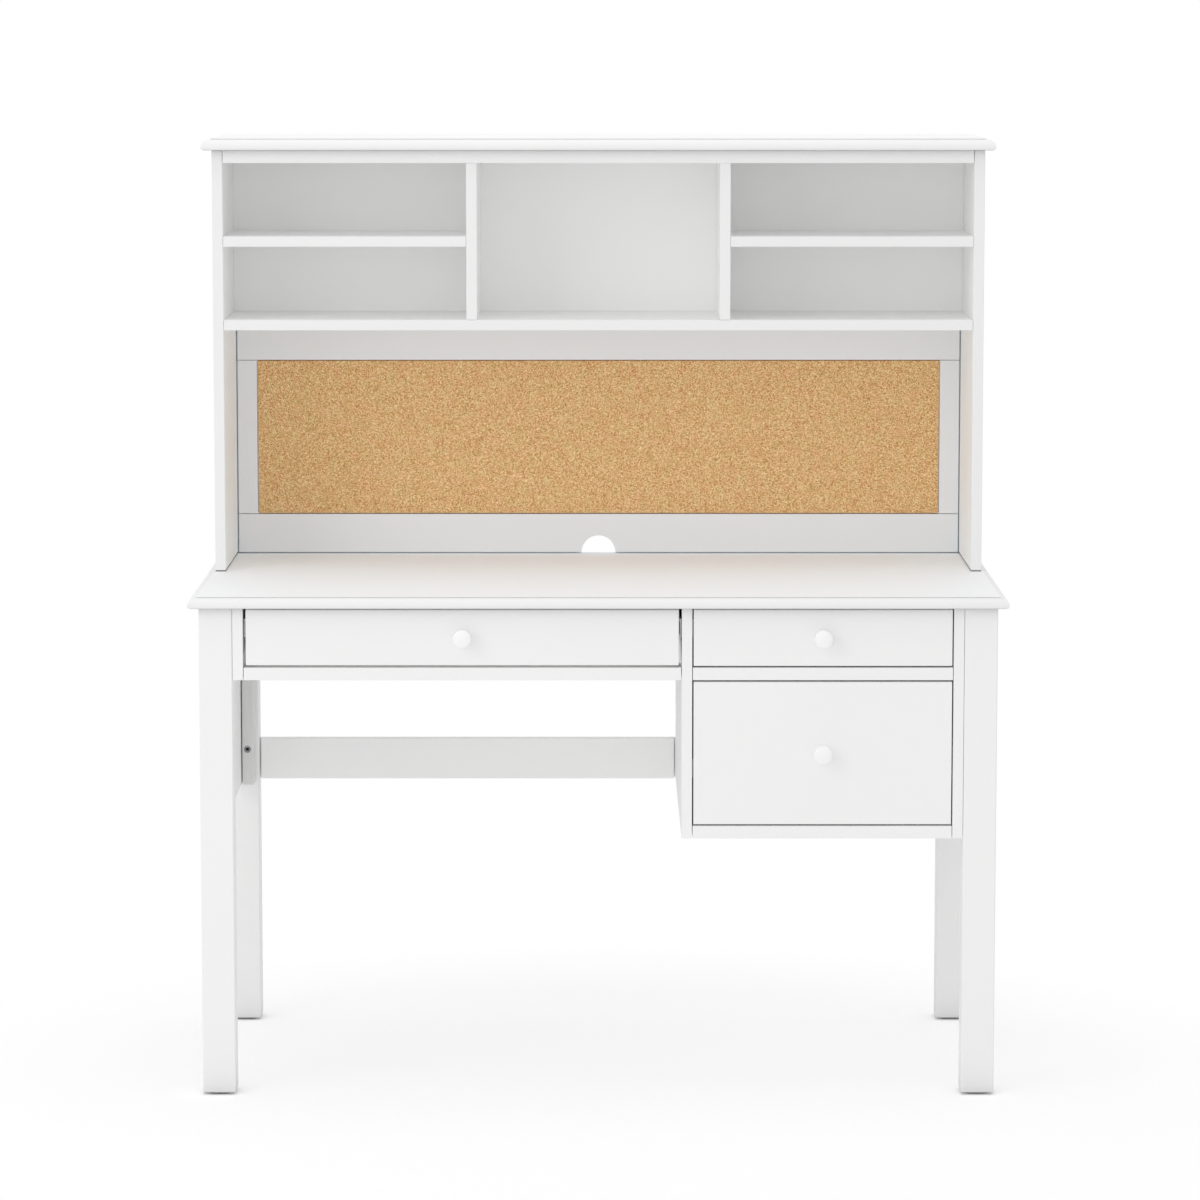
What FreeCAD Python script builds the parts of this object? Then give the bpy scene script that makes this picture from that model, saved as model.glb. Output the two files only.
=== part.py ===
import FreeCAD, Part
import os
import Sketcher

# A student desk with a hutch: four square legs, a moulded top, a wide drawer beside a pedestal of
# two drawers, and an open shelf unit with a cork pinboard standing on the back of the top.
# X runs to the right, Y from the front to the back and Z up. The origin is on the floor, under the
# middle of the box that holds the whole desk. All lengths are in millimetres.

SIZES = {
    # Desk as a whole
    "desk_width": 1220.0,
    "desk_depth": 606.0,
    "desk_height": 755.0,
    "desktop_thickness": 17.0,
    "top_overhang": 15.5,
    "edge_ease": 0.8,
    "overrun": 5.0,
    # Moulded edge of the desktop and of the crown
    "moulding_lower_radius": 4.0,
    "moulding_drop": 1.3,
    "moulding_shoulder": 1.3,
    # Legs and their glides
    "leg_width": 49.5,
    "leg_foot_chamfer": 2.0,
    "glide_height": 3.0,
    "glide_diameter": 40.0,
    # Drawer case, end panels and stretcher
    "case_thickness": 16.5,
    "back_thickness": 6.0,
    "rail_height": 19.8,
    "rail_depth": 60.0,
    "end_panel_thickness": 16.5,
    "end_panel_setback": 7.8,
    "stretcher_height": 65.7,
    "stretcher_rise": 1.8,
    "stretcher_thickness": 16.5,
    # Cleats in the corners between end panels and legs, with their bolts
    "cleat_width": 19.8,
    "cleat_depth": 40.0,
    "bolt_diameter": 6.0,
    "bolt_bite": 30.0,
    "bolt_head_diameter": 11.0,
    "bolt_head_height": 5.0,
    "bolt_recess": 1.0,
    "bolt_clearance": 0.2,
    "bolt_end_distance": 58.0,
    "bolt_socket_width": 5.0,
    "bolt_socket_depth": 3.0,
    # Drawer fronts and the openings around them
    "pedestal_opening": 388.2,
    "wide_gap": 3.2,
    "wide_side_gap": 4.0,
    "pedestal_gap": 2.2,
    "pedestal_side_gap": 1.6,
    "top_gap": 2.4,
    "front_thickness": 16.5,
    "shallow_front_height": 83.6,
    "deep_front_height": 214.5,
    # Drawer boxes
    "box_back_clearance": 98.0,
    "box_side_thickness": 12.0,
    "box_lift": 10.0,
    "shallow_box_height": 62.0,
    "deep_box_height": 170.0,
    "bottom_thickness": 5.0,
    "bottom_rise": 8.0,
    "groove_depth": 5.0,
    "groove_clearance": 0.2,
    # Telescopic drawer slides
    "slide_space": 12.7,
    "slide_height": 27.0,
    "slide_wall": 1.0,
    "slide_running_gap": 0.4,
    "slide_setback": 2.0,
    "slide_end_gap": 18.0,
    "shallow_slide_rise": 44.0,
    "deep_slide_rise": 72.0,
    # Knobs and their screws
    "knob_reach": 25.0,
    "knob_head_diameter": 27.5,
    "knob_head_edge": 22.5,
    "knob_head_back": 11.0,
    "knob_edge_radius": 2.0,
    "knob_neck_diameter": 11.0,
    "knob_neck_length": 5.0,
    "knob_base_diameter": 15.0,
    "knob_base_length": 2.5,
    "screw_diameter": 4.0,
    "screw_bite": 12.0,
    "screw_clearance": 0.1,
    "screw_head_diameter": 8.0,
    "screw_head_height": 2.5,
    # Hutch
    "hutch_depth": 268.5,
    "hutch_thickness": 16.5,
    "crown_thickness": 18.0,
    "pinboard_height": 374.0,
    "cubby_height": 112.3,
    "cubby_depth": 216.5,
    "centre_bay_width": 374.0,
    "face_rail_height": 19.6,
    "upper_back_thickness": 6.0,
    # Pinboard in the back of the hutch
    "pinboard_thickness": 16.5,
    "pinboard_top_rail_height": 63.8,
    "pinboard_bottom_rail_height": 63.7,
    "pinboard_stile_width": 33.0,
    "cork_thickness": 6.0,
    "cork_recess": 3.0,
    "cork_gap": 0.5,
    "cable_notch_radius": 27.0,
    # Dowels between hutch and desktop
    "dowel_diameter": 8.0,
    "dowel_length": 30.0,
    "dowel_seat": 12.0,
    "dowel_end_distance": 40.0,
    "dowel_clearance": 0.1,
}

# A hexagon's half width across its flats, as a share of its corner radius
HEXAGON_SHARE = 3 ** 0.5 / 2
# What a pocket takes from its piece at the least, as a share of the piece's volume
LEAST_CUT_SHARE = 1e-4

doc = FreeCAD.newDocument("student_desk_with_hutch")
sheet = doc.addObject("Spreadsheet::Sheet", "Sizes")
for row, (alias, millimetres) in enumerate(SIZES.items(), start=1):
    sheet.set(f"A{row}", alias)
    sheet.set(f"B{row}", str(millimetres))
    sheet.setAlias(f"B{row}", alias)
doc.recompute()


class Size:
    """A length of the desk: an expression on the sheet's cells, with its present value."""

    def __init__(self, text, value):
        self.text = text
        self.value = value

    def __add__(self, other):
        return Size(f"({self.text} + {other.text})", self.value + other.value)

    def __sub__(self, other):
        return Size(f"({self.text} - {other.text})", self.value - other.value)

    def __neg__(self):
        return Size(f"(0 - {self.text})", -self.value)

    def __mul__(self, factor):
        return Size(f"({self.text} * {factor})", self.value * factor)

    def __truediv__(self, divisor):
        return Size(f"({self.text} / {divisor})", self.value / divisor)


class Sizes:
    """The sheet's cells, each read by its alias."""

    def __getattr__(self, alias):
        return Size(f"Sizes.{alias}", SIZES[alias])


size = Sizes()
zero = Size("0", 0.0)
sub_parts = []


def keep(label, item):
    """Name an object of the document as a sub-part of the desk."""
    item.Label = label
    sub_parts.append(item)
    return item


def place(item, corner, turn=FreeCAD.Rotation()):
    """Bind an object's place to three sizes, with a fixed turn."""
    item.Placement = FreeCAD.Placement(FreeCAD.Vector(), turn)
    for axis, distance in zip("xyz", corner):
        item.setExpression(f"Placement.Base.{axis}", distance.text)


def new_body(name, corner, turn=FreeCAD.Rotation()):
    """An empty body at a place bound to the sheet."""
    body = doc.addObject("PartDesign::Body", name)
    place(body, corner, turn)
    return body


def new_sketch(body, role, offset=zero):
    """A sketch on one of the body's own origin planes, or at an offset from it."""
    sketch = body.newObject("Sketcher::SketchObject", f"{body.Name}_outline")
    plane = next(item for item in body.Origin.OriginFeatures if item.Role == role)
    sketch.AttachmentSupport = [(plane, "")]
    sketch.MapMode = "FlatFace"
    sketch.setExpression("AttachmentOffset.Base.z", offset.text)
    return sketch


def pin(sketch, item, end, direction, distance):
    """Hold one end, or the centre, of a line or arc at a distance from the sketch's origin."""
    constraint = Sketcher.Constraint(direction, -1, 1, item, end, distance.value)
    index = sketch.addConstraint(constraint)
    sketch.setExpression(f"Constraints[{index}]", distance.text)


def outline(body, role, corners, offset=zero):
    """A closed outline, drawn anticlockwise.

    Each corner is (across, up). A third item is the centre of the arc that leads from that
    corner to the next one; without it a straight line does.
    """
    sketch = new_sketch(body, role, offset)
    normal = FreeCAD.Vector(0, 0, 1)
    points = [FreeCAD.Vector(corner[0].value, corner[1].value, 0) for corner in corners]
    ends = points[1:] + points[:1]
    for start, end, corner in zip(points, ends, corners):
        if len(corner) == 2:
            sketch.addGeometry(Part.LineSegment(start, end), False)
            continue
        centre = FreeCAD.Vector(corner[2][0].value, corner[2][1].value, 0)
        circle = Part.Circle(centre, normal, start.distanceToPoint(centre))
        arc = Part.ArcOfCircle(circle, circle.parameter(start), circle.parameter(end))
        sketch.addGeometry(arc, False)
    for item, (start, end, corner) in enumerate(zip(points, ends, corners)):
        following = (item + 1) % len(corners)
        sketch.addConstraint(Sketcher.Constraint("Coincident", item, 2, following, 1))
        pin(sketch, item, 1, "DistanceX", corner[0])
        pin(sketch, item, 1, "DistanceY", corner[1])
        if len(corner) == 3 and abs(end.y - start.y) > abs(end.x - start.x):
            pin(sketch, item, 3, "DistanceX", corner[2][0])
        elif len(corner) == 3:
            pin(sketch, item, 3, "DistanceY", corner[2][1])
    return sketch


def pad(body, sketch, length, reverse=False):
    """Raise a sketch into a solid."""
    feature = body.newObject("PartDesign::Pad", f"{body.Name}_pad")
    feature.Profile = sketch
    feature.Reversed = reverse
    feature.setExpression("Length", length.text)
    return feature


def pocket(body, sketch, depth, reverse=False):
    """Sink a sketch into a body, and make sure that it takes some of it away."""
    doc.recompute()
    before = body.Shape.Volume
    feature = body.newObject("PartDesign::Pocket", f"{body.Name}_pocket")
    feature.Profile = sketch
    feature.Reversed = reverse
    feature.setExpression("Length", depth.text)
    doc.recompute()
    if before - body.Shape.Volume < before * LEAST_CUT_SHARE:
        raise ValueError(f"{body.Name}: the pocket cuts nothing")
    return feature


def revolve(body, sketch):
    """Turn a sketch about its own horizontal axis."""
    feature = body.newObject("PartDesign::Revolution", f"{body.Name}_turned")
    feature.Profile = sketch
    feature.ReferenceAxis = (sketch, ["H_Axis"])
    feature.Angle = 360.0
    return feature


def chamfer(body, base, edges, width):
    """Bevel some edges of a feature, or all of them when none are named."""
    feature = body.newObject("PartDesign::Chamfer", f"{body.Name}_eased")
    feature.Base = (base, edges)
    feature.UseAllEdges = not edges
    feature.setExpression("Size", width.text)
    return feature


def edges_where(feature, test):
    """Names of a feature's edges whose shape passes a test."""
    doc.recompute()
    return [f"Edge{number}" for number, edge in enumerate(feature.Shape.Edges, start=1) if test(edge)]


def rectangle(width, height):
    """Corners of a rectangle that starts at its sketch's origin."""
    return [(zero, zero), (width, zero), (width, height), (zero, height)]


def plain_board(name, low, high):
    """A flat board between two opposite corners, with its sharp edges eased."""
    width, depth, height = (far - near for near, far in zip(low, high))
    body = new_body(name, low)
    blank = pad(body, outline(body, "XY_Plane", rectangle(width, depth)), height)
    chamfer(body, blank, [], size.edge_ease)
    return body


def board(label, low, high):
    """A flat board that is a sub-part by itself."""
    return keep(label, plain_board(label, low, high))


def drill(solid, tools):
    """A solid with the holes that some cylinders leave in it."""
    holes = doc.addObject("Part::Compound", f"{solid.Name}_holes")
    holes.Links = tools
    cut = doc.addObject("Part::Cut", f"{solid.Name}_drilled")
    cut.Base = solid
    cut.Tool = holes
    return cut


def group(label, pieces):
    """Several separate solids of one kind under one name."""
    compound = doc.addObject("Part::Compound", f"{label}_group")
    compound.Links = pieces
    return keep(label, compound)


TURN_TO_FRONT = FreeCAD.Rotation(FreeCAD.Vector(0, 0, 1), -90)
TURN_TO_BACK = FreeCAD.Rotation(FreeCAD.Vector(0, 0, 1), 90)
TURN_ABOUT = FreeCAD.Rotation(FreeCAD.Vector(0, 0, 1), 180)
LAY_TO_FRONT = FreeCAD.Rotation(FreeCAD.Vector(1, 0, 0), 90)
LAY_TO_BACK = FreeCAD.Rotation(FreeCAD.Vector(1, 0, 0), -90)


def rod(name, corner, radius, length, turn=FreeCAD.Rotation()):
    """A plain cylinder from the middle of its first end."""
    cylinder = doc.addObject("Part::Cylinder", name)
    cylinder.setExpression("Radius", radius.text)
    cylinder.setExpression("Height", length.text)
    place(cylinder, corner, turn)
    return cylinder


def headed_pin(name, seat, turn, shank, head):
    """A round shank with a round head, from the point where the head bears.

    shank and head are each a (diameter, length).
    """
    body = new_body(name, seat, turn)
    section = [
        (-head[1], zero),
        (shank[1], zero),
        (shank[1], shank[0] / 2),
        (zero, shank[0] / 2),
        (zero, head[0] / 2),
        (-head[1], head[0] / 2),
    ]
    revolve(body, outline(body, "XY_Plane", section))
    return body


def span(inner, outer, side):
    """Left and right plane of a piece that stands on one side of the desk, -1 or 1."""
    if side < 0:
        return -outer, -inner
    return inner, outer


# Planes shared by the pieces

half_width = size.desk_width / 2
leg_outer = half_width - size.top_overhang
leg_inner = leg_outer - size.leg_width

face_to_back = size.desk_depth - size.top_overhang
face = (size.knob_reach - face_to_back) / 2
back = face + face_to_back
front_leg_back = face + size.leg_width
rear_leg_front = back - size.leg_width
case_back_face = back - size.back_thickness
front_back = face + size.front_thickness
box_back = case_back_face - size.box_back_clearance
slide_front = front_back + size.slide_setback
slide_back = box_back - size.slide_end_gap

desktop_bottom = size.desk_height - size.desktop_thickness
shallow_top = desktop_bottom - size.top_gap
shallow_bottom = shallow_top - size.shallow_front_height
rail_top = shallow_bottom - size.wide_gap
rail_bottom = rail_top - size.rail_height
small_bottom = rail_top + size.pedestal_gap
deep_top = rail_bottom - size.pedestal_gap
deep_bottom = deep_top - size.deep_front_height
case_floor = deep_bottom - size.pedestal_gap
case_bottom = case_floor - size.rail_height

wide_left = size.case_thickness - leg_inner
pedestal_right = leg_inner - size.case_thickness
pedestal_left = pedestal_right - size.pedestal_opening
wide_right = pedestal_left - size.case_thickness
pedestal_side_middle = pedestal_left - size.case_thickness / 2

hutch_outer = leg_outer
hutch_inner = hutch_outer - size.hutch_thickness
hutch_front = back - size.hutch_depth
shelf_bottom = size.desk_height + size.pinboard_height
shelf_top = shelf_bottom + size.hutch_thickness
mid_shelf_bottom = shelf_top + size.cubby_height
mid_shelf_top = mid_shelf_bottom + size.hutch_thickness
face_rail_bottom = mid_shelf_top + size.cubby_height
crown_bottom = face_rail_bottom + size.face_rail_height
crown_top = crown_bottom + size.crown_thickness
divider_inner = size.centre_bay_width / 2
divider_outer = divider_inner + size.hutch_thickness
cubby_back = hutch_front + size.cubby_depth
pinboard_front = back - size.pinboard_thickness
bottom_rail_top = size.desk_height + size.pinboard_bottom_rail_height
top_rail_bottom = shelf_bottom - size.pinboard_top_rail_height
cork_half = hutch_inner - size.pinboard_stile_width
cork_front = pinboard_front + size.cork_recess
cork_back = cork_front + size.cork_thickness

panel_outer = leg_outer - size.end_panel_setback
panel_inner = panel_outer - size.end_panel_thickness
cleat_inner = panel_inner - size.cleat_width
counterbore_depth = size.bolt_head_height + size.bolt_recess


def moulded_top(name, low, high):
    """A board with a moulded edge on its front and both ends.

    The edge falls from a small step through a quarter round to a lower round. One prism has the
    moulding at its front, another at its two ends, and what they share has mitred corners.
    """
    width, depth, thickness = (far - near for near, far in zip(low, high))
    lower = size.moulding_lower_radius
    shoulder = thickness - size.moulding_drop
    upper = shoulder - lower
    step = upper + size.moulding_shoulder

    front = new_body(f"{name}_front_moulding", low)
    section = [
        (lower, zero),
        (depth, zero),
        (depth, thickness),
        (step, thickness),
        (step, shoulder),
        (upper, shoulder, (upper, lower)),
        (zero, lower, (lower, lower)),
    ]
    pad(front, outline(front, "YZ_Plane", section), width)

    ends = new_body(f"{name}_end_moulding", low)
    section = [
        (lower, zero),
        (width - lower, zero, (width - lower, lower)),
        (width, lower, (width - upper, lower)),
        (width - upper, shoulder),
        (width - step, shoulder),
        (width - step, thickness),
        (step, thickness),
        (step, shoulder),
        (upper, shoulder, (upper, lower)),
        (zero, lower, (lower, lower)),
    ]
    pad(ends, outline(ends, "XZ_Plane", section), depth, reverse=True)

    moulded = doc.addObject("Part::Common", f"{name}_moulded")
    moulded.Base = front
    moulded.Tool = ends
    return moulded


def build_top():
    """The desktop, the dowels that the hutch stands on, and the hutch's sides over them."""
    radius = size.dowel_diameter / 2
    bored = radius + size.dowel_clearance
    dowels = []
    holes = {-1: [], 1: []}
    for side in (-1, 1):
        middle = (hutch_inner + size.hutch_thickness / 2) * side
        for distance in (hutch_front + size.dowel_end_distance, back - size.dowel_end_distance):
            foot = (middle, distance, size.desk_height - size.dowel_seat)
            dowels.append(rod("dowel", foot, radius, size.dowel_length))
            holes[side].append(rod("dowel_hole", foot, bored, size.dowel_length))

    low = (-half_width, face - size.top_overhang, desktop_bottom)
    top = moulded_top("desktop", low, (half_width, back, size.desk_height))
    keep("desktop", drill(top, holes[-1] + holes[1]))
    for side, label in ((-1, "hutch_left_side"), (1, "hutch_right_side")):
        left, right = span(hutch_inner, hutch_outer, side)
        low = (left, hutch_front, size.desk_height)
        blank = plain_board(f"{label}_blank", low, (right, back, crown_bottom))
        keep(label, drill(blank, holes[side]))
    group("hutch_dowels", dowels)


def build_end_frames():
    """Both ends of the desk: legs with glides, a recessed panel, and bolted corner cleats."""
    glides, cleats, bolts = [], [], []
    for side, hand in ((-1, "left"), (1, "right")):
        left, right = span(panel_inner, panel_outer, side)
        board(
            f"{hand}_end_panel",
            (left, front_leg_back, case_bottom),
            (right, rear_leg_front, desktop_bottom),
        )
        for end in ("front", "rear"):
            holes, corner_bolts = bolt_corner(side, end)
            bolts += corner_bolts
            cleats.append(drill(cleat_blank(side, hand, end), holes["cleat"]))
            left, _ = span(leg_inner, leg_outer, side)
            if end == "front":
                low = (left, face, size.glide_height)
            else:
                low = (left, rear_leg_front, size.glide_height)
            keep(f"leg_{end}_{hand}", drill(leg_blank(f"{end}_{hand}_blank", low), holes["leg"]))
            half_leg = size.leg_width / 2
            centre = (low[0] + half_leg, low[1] + half_leg, zero)
            glides.append(rod("glide", centre, size.glide_diameter / 2, size.glide_height))
    group("leg_glides", glides)
    group("corner_cleats", cleats)
    group("cleat_bolts", bolts)


def bolt_corner(side, end):
    """Bolts that pull a cleat against its leg, and what they leave open in both pieces.

    Returns the holes, of the cleat and of the leg, and the bolts.
    """
    if end == "front":
        head_face, way = front_leg_back + size.cleat_depth, -1
        turn, lay = TURN_TO_FRONT, LAY_TO_FRONT
    else:
        head_face, way = rear_leg_front - size.cleat_depth, 1
        turn, lay = TURN_TO_BACK, LAY_TO_BACK
    line = (cleat_inner + size.cleat_width / 2) * side
    seat = head_face + counterbore_depth * way
    mouth = head_face - size.overrun * way
    shank_length = size.cleat_depth - counterbore_depth + size.bolt_bite
    bored = size.bolt_diameter / 2 + size.bolt_clearance
    head_bored = size.bolt_head_diameter / 2 + size.bolt_clearance
    head_reach = counterbore_depth + size.overrun

    bolts, holes, counterbores = [], [], []
    for height in (case_bottom + size.bolt_end_distance, desktop_bottom - size.bolt_end_distance):
        bolts.append(socket_bolt((line, seat, height), turn, shank_length))
        holes.append(rod("bolt_hole", (line, seat, height), bored, shank_length, lay))
        counterbores.append(rod("counterbore", (line, mouth, height), head_bored, head_reach, lay))
    return {"cleat": holes + counterbores, "leg": holes}, bolts


def cleat_blank(side, hand, end):
    """A corner cleat before it is drilled."""
    left, right = span(cleat_inner, panel_inner, side)
    if end == "front":
        cleat_front, cleat_back = front_leg_back, front_leg_back + size.cleat_depth
    else:
        cleat_front, cleat_back = rear_leg_front - size.cleat_depth, rear_leg_front
    low = (left, cleat_front, case_bottom)
    return plain_board(f"{hand}_{end}_cleat", low, (right, cleat_back, desktop_bottom))


def leg_blank(name, low):
    """A square leg with eased corners and a bevelled foot."""
    body = new_body(name, low)
    square = outline(body, "XY_Plane", rectangle(size.leg_width, size.leg_width))
    stem = pad(body, square, desktop_bottom - size.glide_height)
    foot = edges_where(stem, lambda edge: edge.BoundBox.ZMax < SIZES["edge_ease"])
    bevelled = chamfer(body, stem, foot, size.leg_foot_chamfer)
    upright = edges_where(bevelled, lambda edge: edge.BoundBox.ZLength > SIZES["desk_height"] / 2)
    chamfer(body, bevelled, upright, size.edge_ease)
    return body


def socket_bolt(seat, turn, shank_length):
    """A cleat bolt with a six-sided socket in its head."""
    shank = (size.bolt_diameter, shank_length)
    head = (size.bolt_head_diameter, size.bolt_head_height)
    body = headed_pin("cleat_bolt", seat, turn, shank, head)
    flat = size.bolt_socket_width / 2
    corner = flat / HEXAGON_SHARE
    hexagon = [
        (corner, zero),
        (corner / 2, flat),
        (-corner / 2, flat),
        (-corner, zero),
        (-corner / 2, -flat),
        (corner / 2, -flat),
    ]
    sketch = outline(body, "YZ_Plane", hexagon, offset=-size.bolt_head_height)
    pocket(body, sketch, size.bolt_socket_depth, reverse=True)
    return body


def build_case():
    """The drawer case between the legs, and the stretcher behind the sitter's feet."""
    board(
        "left_case_side",
        (-leg_inner, face, rail_bottom),
        (wide_left, case_back_face, desktop_bottom),
    )
    board(
        "pedestal_left_side",
        (wide_right, face, case_bottom),
        (pedestal_left, case_back_face, desktop_bottom),
    )
    board(
        "pedestal_right_side",
        (pedestal_right, face, case_bottom),
        (leg_inner, case_back_face, desktop_bottom),
    )
    rail_back = face + size.rail_depth
    board("wide_drawer_rail", (wide_left, face, rail_bottom), (wide_right, rail_back, rail_top))
    board(
        "pedestal_mid_rail",
        (pedestal_left, face, rail_bottom),
        (pedestal_right, rail_back, rail_top),
    )
    board(
        "pedestal_bottom",
        (pedestal_left, face, case_bottom),
        (pedestal_right, case_back_face, case_floor),
    )
    board(
        "case_back",
        (-leg_inner, case_back_face, rail_bottom),
        (pedestal_side_middle, back, desktop_bottom),
    )
    board(
        "pedestal_back",
        (pedestal_side_middle, case_back_face, case_bottom),
        (leg_inner, back, desktop_bottom),
    )
    middle = rear_leg_front + size.leg_width / 2
    half = size.stretcher_thickness / 2
    stretcher_bottom = case_bottom + size.stretcher_rise
    board(
        "rear_stretcher",
        (-leg_inner, middle - half, stretcher_bottom),
        (wide_right, middle + half, stretcher_bottom + size.stretcher_height),
    )


def build_hutch():
    """The shelf unit: crown, shelves, dividers, back panel and framed pinboard."""
    low = (-half_width, hutch_front - size.top_overhang, crown_bottom)
    keep("hutch_crown", moulded_top("hutch_crown", low, (half_width, back, crown_top)))
    board("main_shelf", (-hutch_inner, hutch_front, shelf_bottom), (hutch_inner, back, shelf_top))
    board(
        "hutch_face_rail",
        (-hutch_inner, hutch_front, face_rail_bottom),
        (hutch_inner, hutch_front + size.hutch_thickness, crown_bottom),
    )
    board(
        "upper_back_panel",
        (-hutch_inner, cubby_back, shelf_top),
        (hutch_inner, cubby_back + size.upper_back_thickness, crown_bottom),
    )
    for side, hand in ((-1, "left"), (1, "right")):
        build_divider(f"{hand}_divider", span(divider_inner, divider_outer, side))
        left, right = span(divider_outer, hutch_inner, side)
        board(
            f"{hand}_mid_shelf",
            (left, hutch_front, mid_shelf_bottom),
            (right, cubby_back, mid_shelf_top),
        )
    build_pinboard()


def build_divider(label, sides):
    """An upright between two bays, cut away at its front corner for the face rail."""
    low = (sides[0], hutch_front, shelf_top)
    divider = board(label, low, (sides[1], cubby_back, crown_bottom))
    seat_bottom = face_rail_bottom - shelf_top
    seat_top = crown_bottom - shelf_top
    rail_seat = [
        (zero, seat_bottom),
        (size.hutch_thickness, seat_bottom),
        (size.hutch_thickness, seat_top),
        (zero, seat_top),
    ]
    sketch = outline(divider, "YZ_Plane", rail_seat)
    pocket(divider, sketch, size.hutch_thickness, reverse=True)


def build_pinboard():
    """Rails and stiles around a cork sheet on its backing, with a cable notch at the desktop."""
    board(
        "pinboard_top_rail",
        (-hutch_inner, pinboard_front, top_rail_bottom),
        (hutch_inner, back, shelf_bottom),
    )
    low = (-hutch_inner, pinboard_front, size.desk_height)
    bottom_rail = board("pinboard_bottom_rail", low, (hutch_inner, back, bottom_rail_top))
    radius = size.cable_notch_radius
    notch = [
        (hutch_inner - radius, zero),
        (hutch_inner + radius, zero, (hutch_inner, zero)),
    ]
    pocket(bottom_rail, outline(bottom_rail, "XZ_Plane", notch), size.pinboard_thickness)

    stiles = []
    for side, hand in ((-1, "left"), (1, "right")):
        left, right = span(cork_half, hutch_inner, side)
        low = (left, pinboard_front, bottom_rail_top)
        stiles.append(plain_board(f"pinboard_{hand}_stile", low, (right, back, top_rail_bottom)))
    group("pinboard_stiles", stiles)

    gap = size.cork_gap
    board(
        "cork_sheet",
        (gap - cork_half, cork_front, bottom_rail_top + gap),
        (cork_half - gap, cork_back, top_rail_bottom - gap),
    )
    board(
        "cork_backing",
        (-cork_half, cork_back, bottom_rail_top),
        (cork_half, back, top_rail_bottom),
    )


def slide_members():
    """Sections of a slide's three members, nested from the case to the drawer.

    Across is measured from the case, up from the slide's middle line.
    """
    wall, gap = size.slide_wall, size.slide_running_gap
    lip = size.slide_space - wall - gap
    half = size.slide_height / 2
    fixed = channel_section(zero, lip, half, wall)
    half = half - wall - gap
    middle = channel_section(wall + gap, lip, half, wall)
    half = half - wall - gap
    start = (wall + gap) * 2
    web = size.slide_space - wall
    runner = [
        (start, -half),
        (size.slide_space, -half),
        (size.slide_space, half),
        (start, half),
        (start, half - wall),
        (web, half - wall),
        (web, wall - half),
        (start, wall - half),
    ]
    return fixed, middle, runner


def channel_section(web, lip, half, wall):
    """A channel that opens away from the case."""
    return [
        (web, -half),
        (lip, -half),
        (lip, wall - half),
        (web + wall, wall - half),
        (web + wall, half - wall),
        (lip, half - wall),
        (lip, half),
        (web, half),
    ]


def slide_pair(name, section, left, right, height):
    """One member of a drawer's two slides, on the left and on the right."""
    places = (
        ((left, slide_front, height), FreeCAD.Rotation()),
        ((right, slide_back, height), TURN_ABOUT),
    )
    pair = []
    for corner, turn in places:
        body = new_body(name, corner, turn)
        sketch = outline(body, "XZ_Plane", section)
        pad(body, sketch, slide_back - slide_front, reverse=True)
        pair.append(body)
    return pair


def build_drawer(name, left, right, side_gap, front_bottom, front_top, box_height, slide_rise):
    """One drawer: front, box, knob and runners. Returns the fixed members of its slides."""
    box_left = left + size.slide_space
    box_right = right - size.slide_space
    box_bottom = front_bottom + size.box_lift
    box_top = box_bottom + box_height
    bottom_low = box_bottom + size.bottom_rise
    bottom_top = bottom_low + size.bottom_thickness
    inner_left = box_left + size.box_side_thickness
    inner_right = box_right - size.box_side_thickness

    low = (left + side_gap, face, front_bottom)
    high = (right - side_gap, front_back, front_top)
    front = plain_board(f"{name}_front_blank", low, high)
    groove_low = bottom_low - front_bottom
    groove_top = groove_low + size.bottom_thickness + size.groove_clearance
    groove_left = inner_left - size.groove_depth - low[0]
    groove_right = inner_right + size.groove_depth - low[0]
    groove = [
        (groove_left, groove_low),
        (groove_right, groove_low),
        (groove_right, groove_top),
        (groove_left, groove_top),
    ]
    groove_sketch = outline(front, "XZ_Plane", groove, offset=-size.front_thickness)
    pocket(front, groove_sketch, size.groove_depth, reverse=True)

    middle = (left + right) / 2
    height = (front_bottom + front_top) / 2
    seat = (middle, front_back, height)
    reach = size.front_thickness + size.screw_bite
    bored = size.screw_diameter / 2 + size.screw_clearance
    hole = rod(f"{name}_screw_hole", seat, bored, reach, LAY_TO_FRONT)
    keep(f"{name}_front", drill(front, [hole]))
    knob = turned_knob(f"{name}_knob_blank", (middle, face, height))
    keep(f"{name}_knob", drill(knob, [hole]))
    shank = (size.screw_diameter, reach)
    head = (size.screw_head_diameter, size.screw_head_height)
    screw = headed_pin(f"{name}_knob_screw", seat, TURN_TO_FRONT, shank, head)
    keep(f"{name}_knob_screw", screw)

    sides = []
    for corner, turn in (
        ((box_left, front_back, box_bottom), FreeCAD.Rotation()),
        ((box_right, box_back, box_bottom), TURN_ABOUT),
    ):
        sides.append(grooved_side(f"{name}_side", corner, turn, box_height))
    group(f"{name}_sides", sides)
    back_front = box_back - size.box_side_thickness
    board(f"{name}_back", (inner_left, back_front, bottom_top), (inner_right, box_back, box_top))
    board(
        f"{name}_bottom",
        (inner_left - size.groove_depth, front_back - size.groove_depth, bottom_low),
        (inner_right + size.groove_depth, box_back, bottom_top),
    )

    slide_line = box_bottom + slide_rise
    channel, mid_slide, runner = slide_members()
    runners = slide_pair(f"{name}_runner", runner, left, right, slide_line)
    group(f"{name}_runners", runners)
    mid_slides = slide_pair(f"{name}_mid_slide", mid_slide, left, right, slide_line)
    group(f"{name}_mid_slides", mid_slides)
    return slide_pair(f"{name}_slide_channel", channel, left, right, slide_line)


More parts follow.
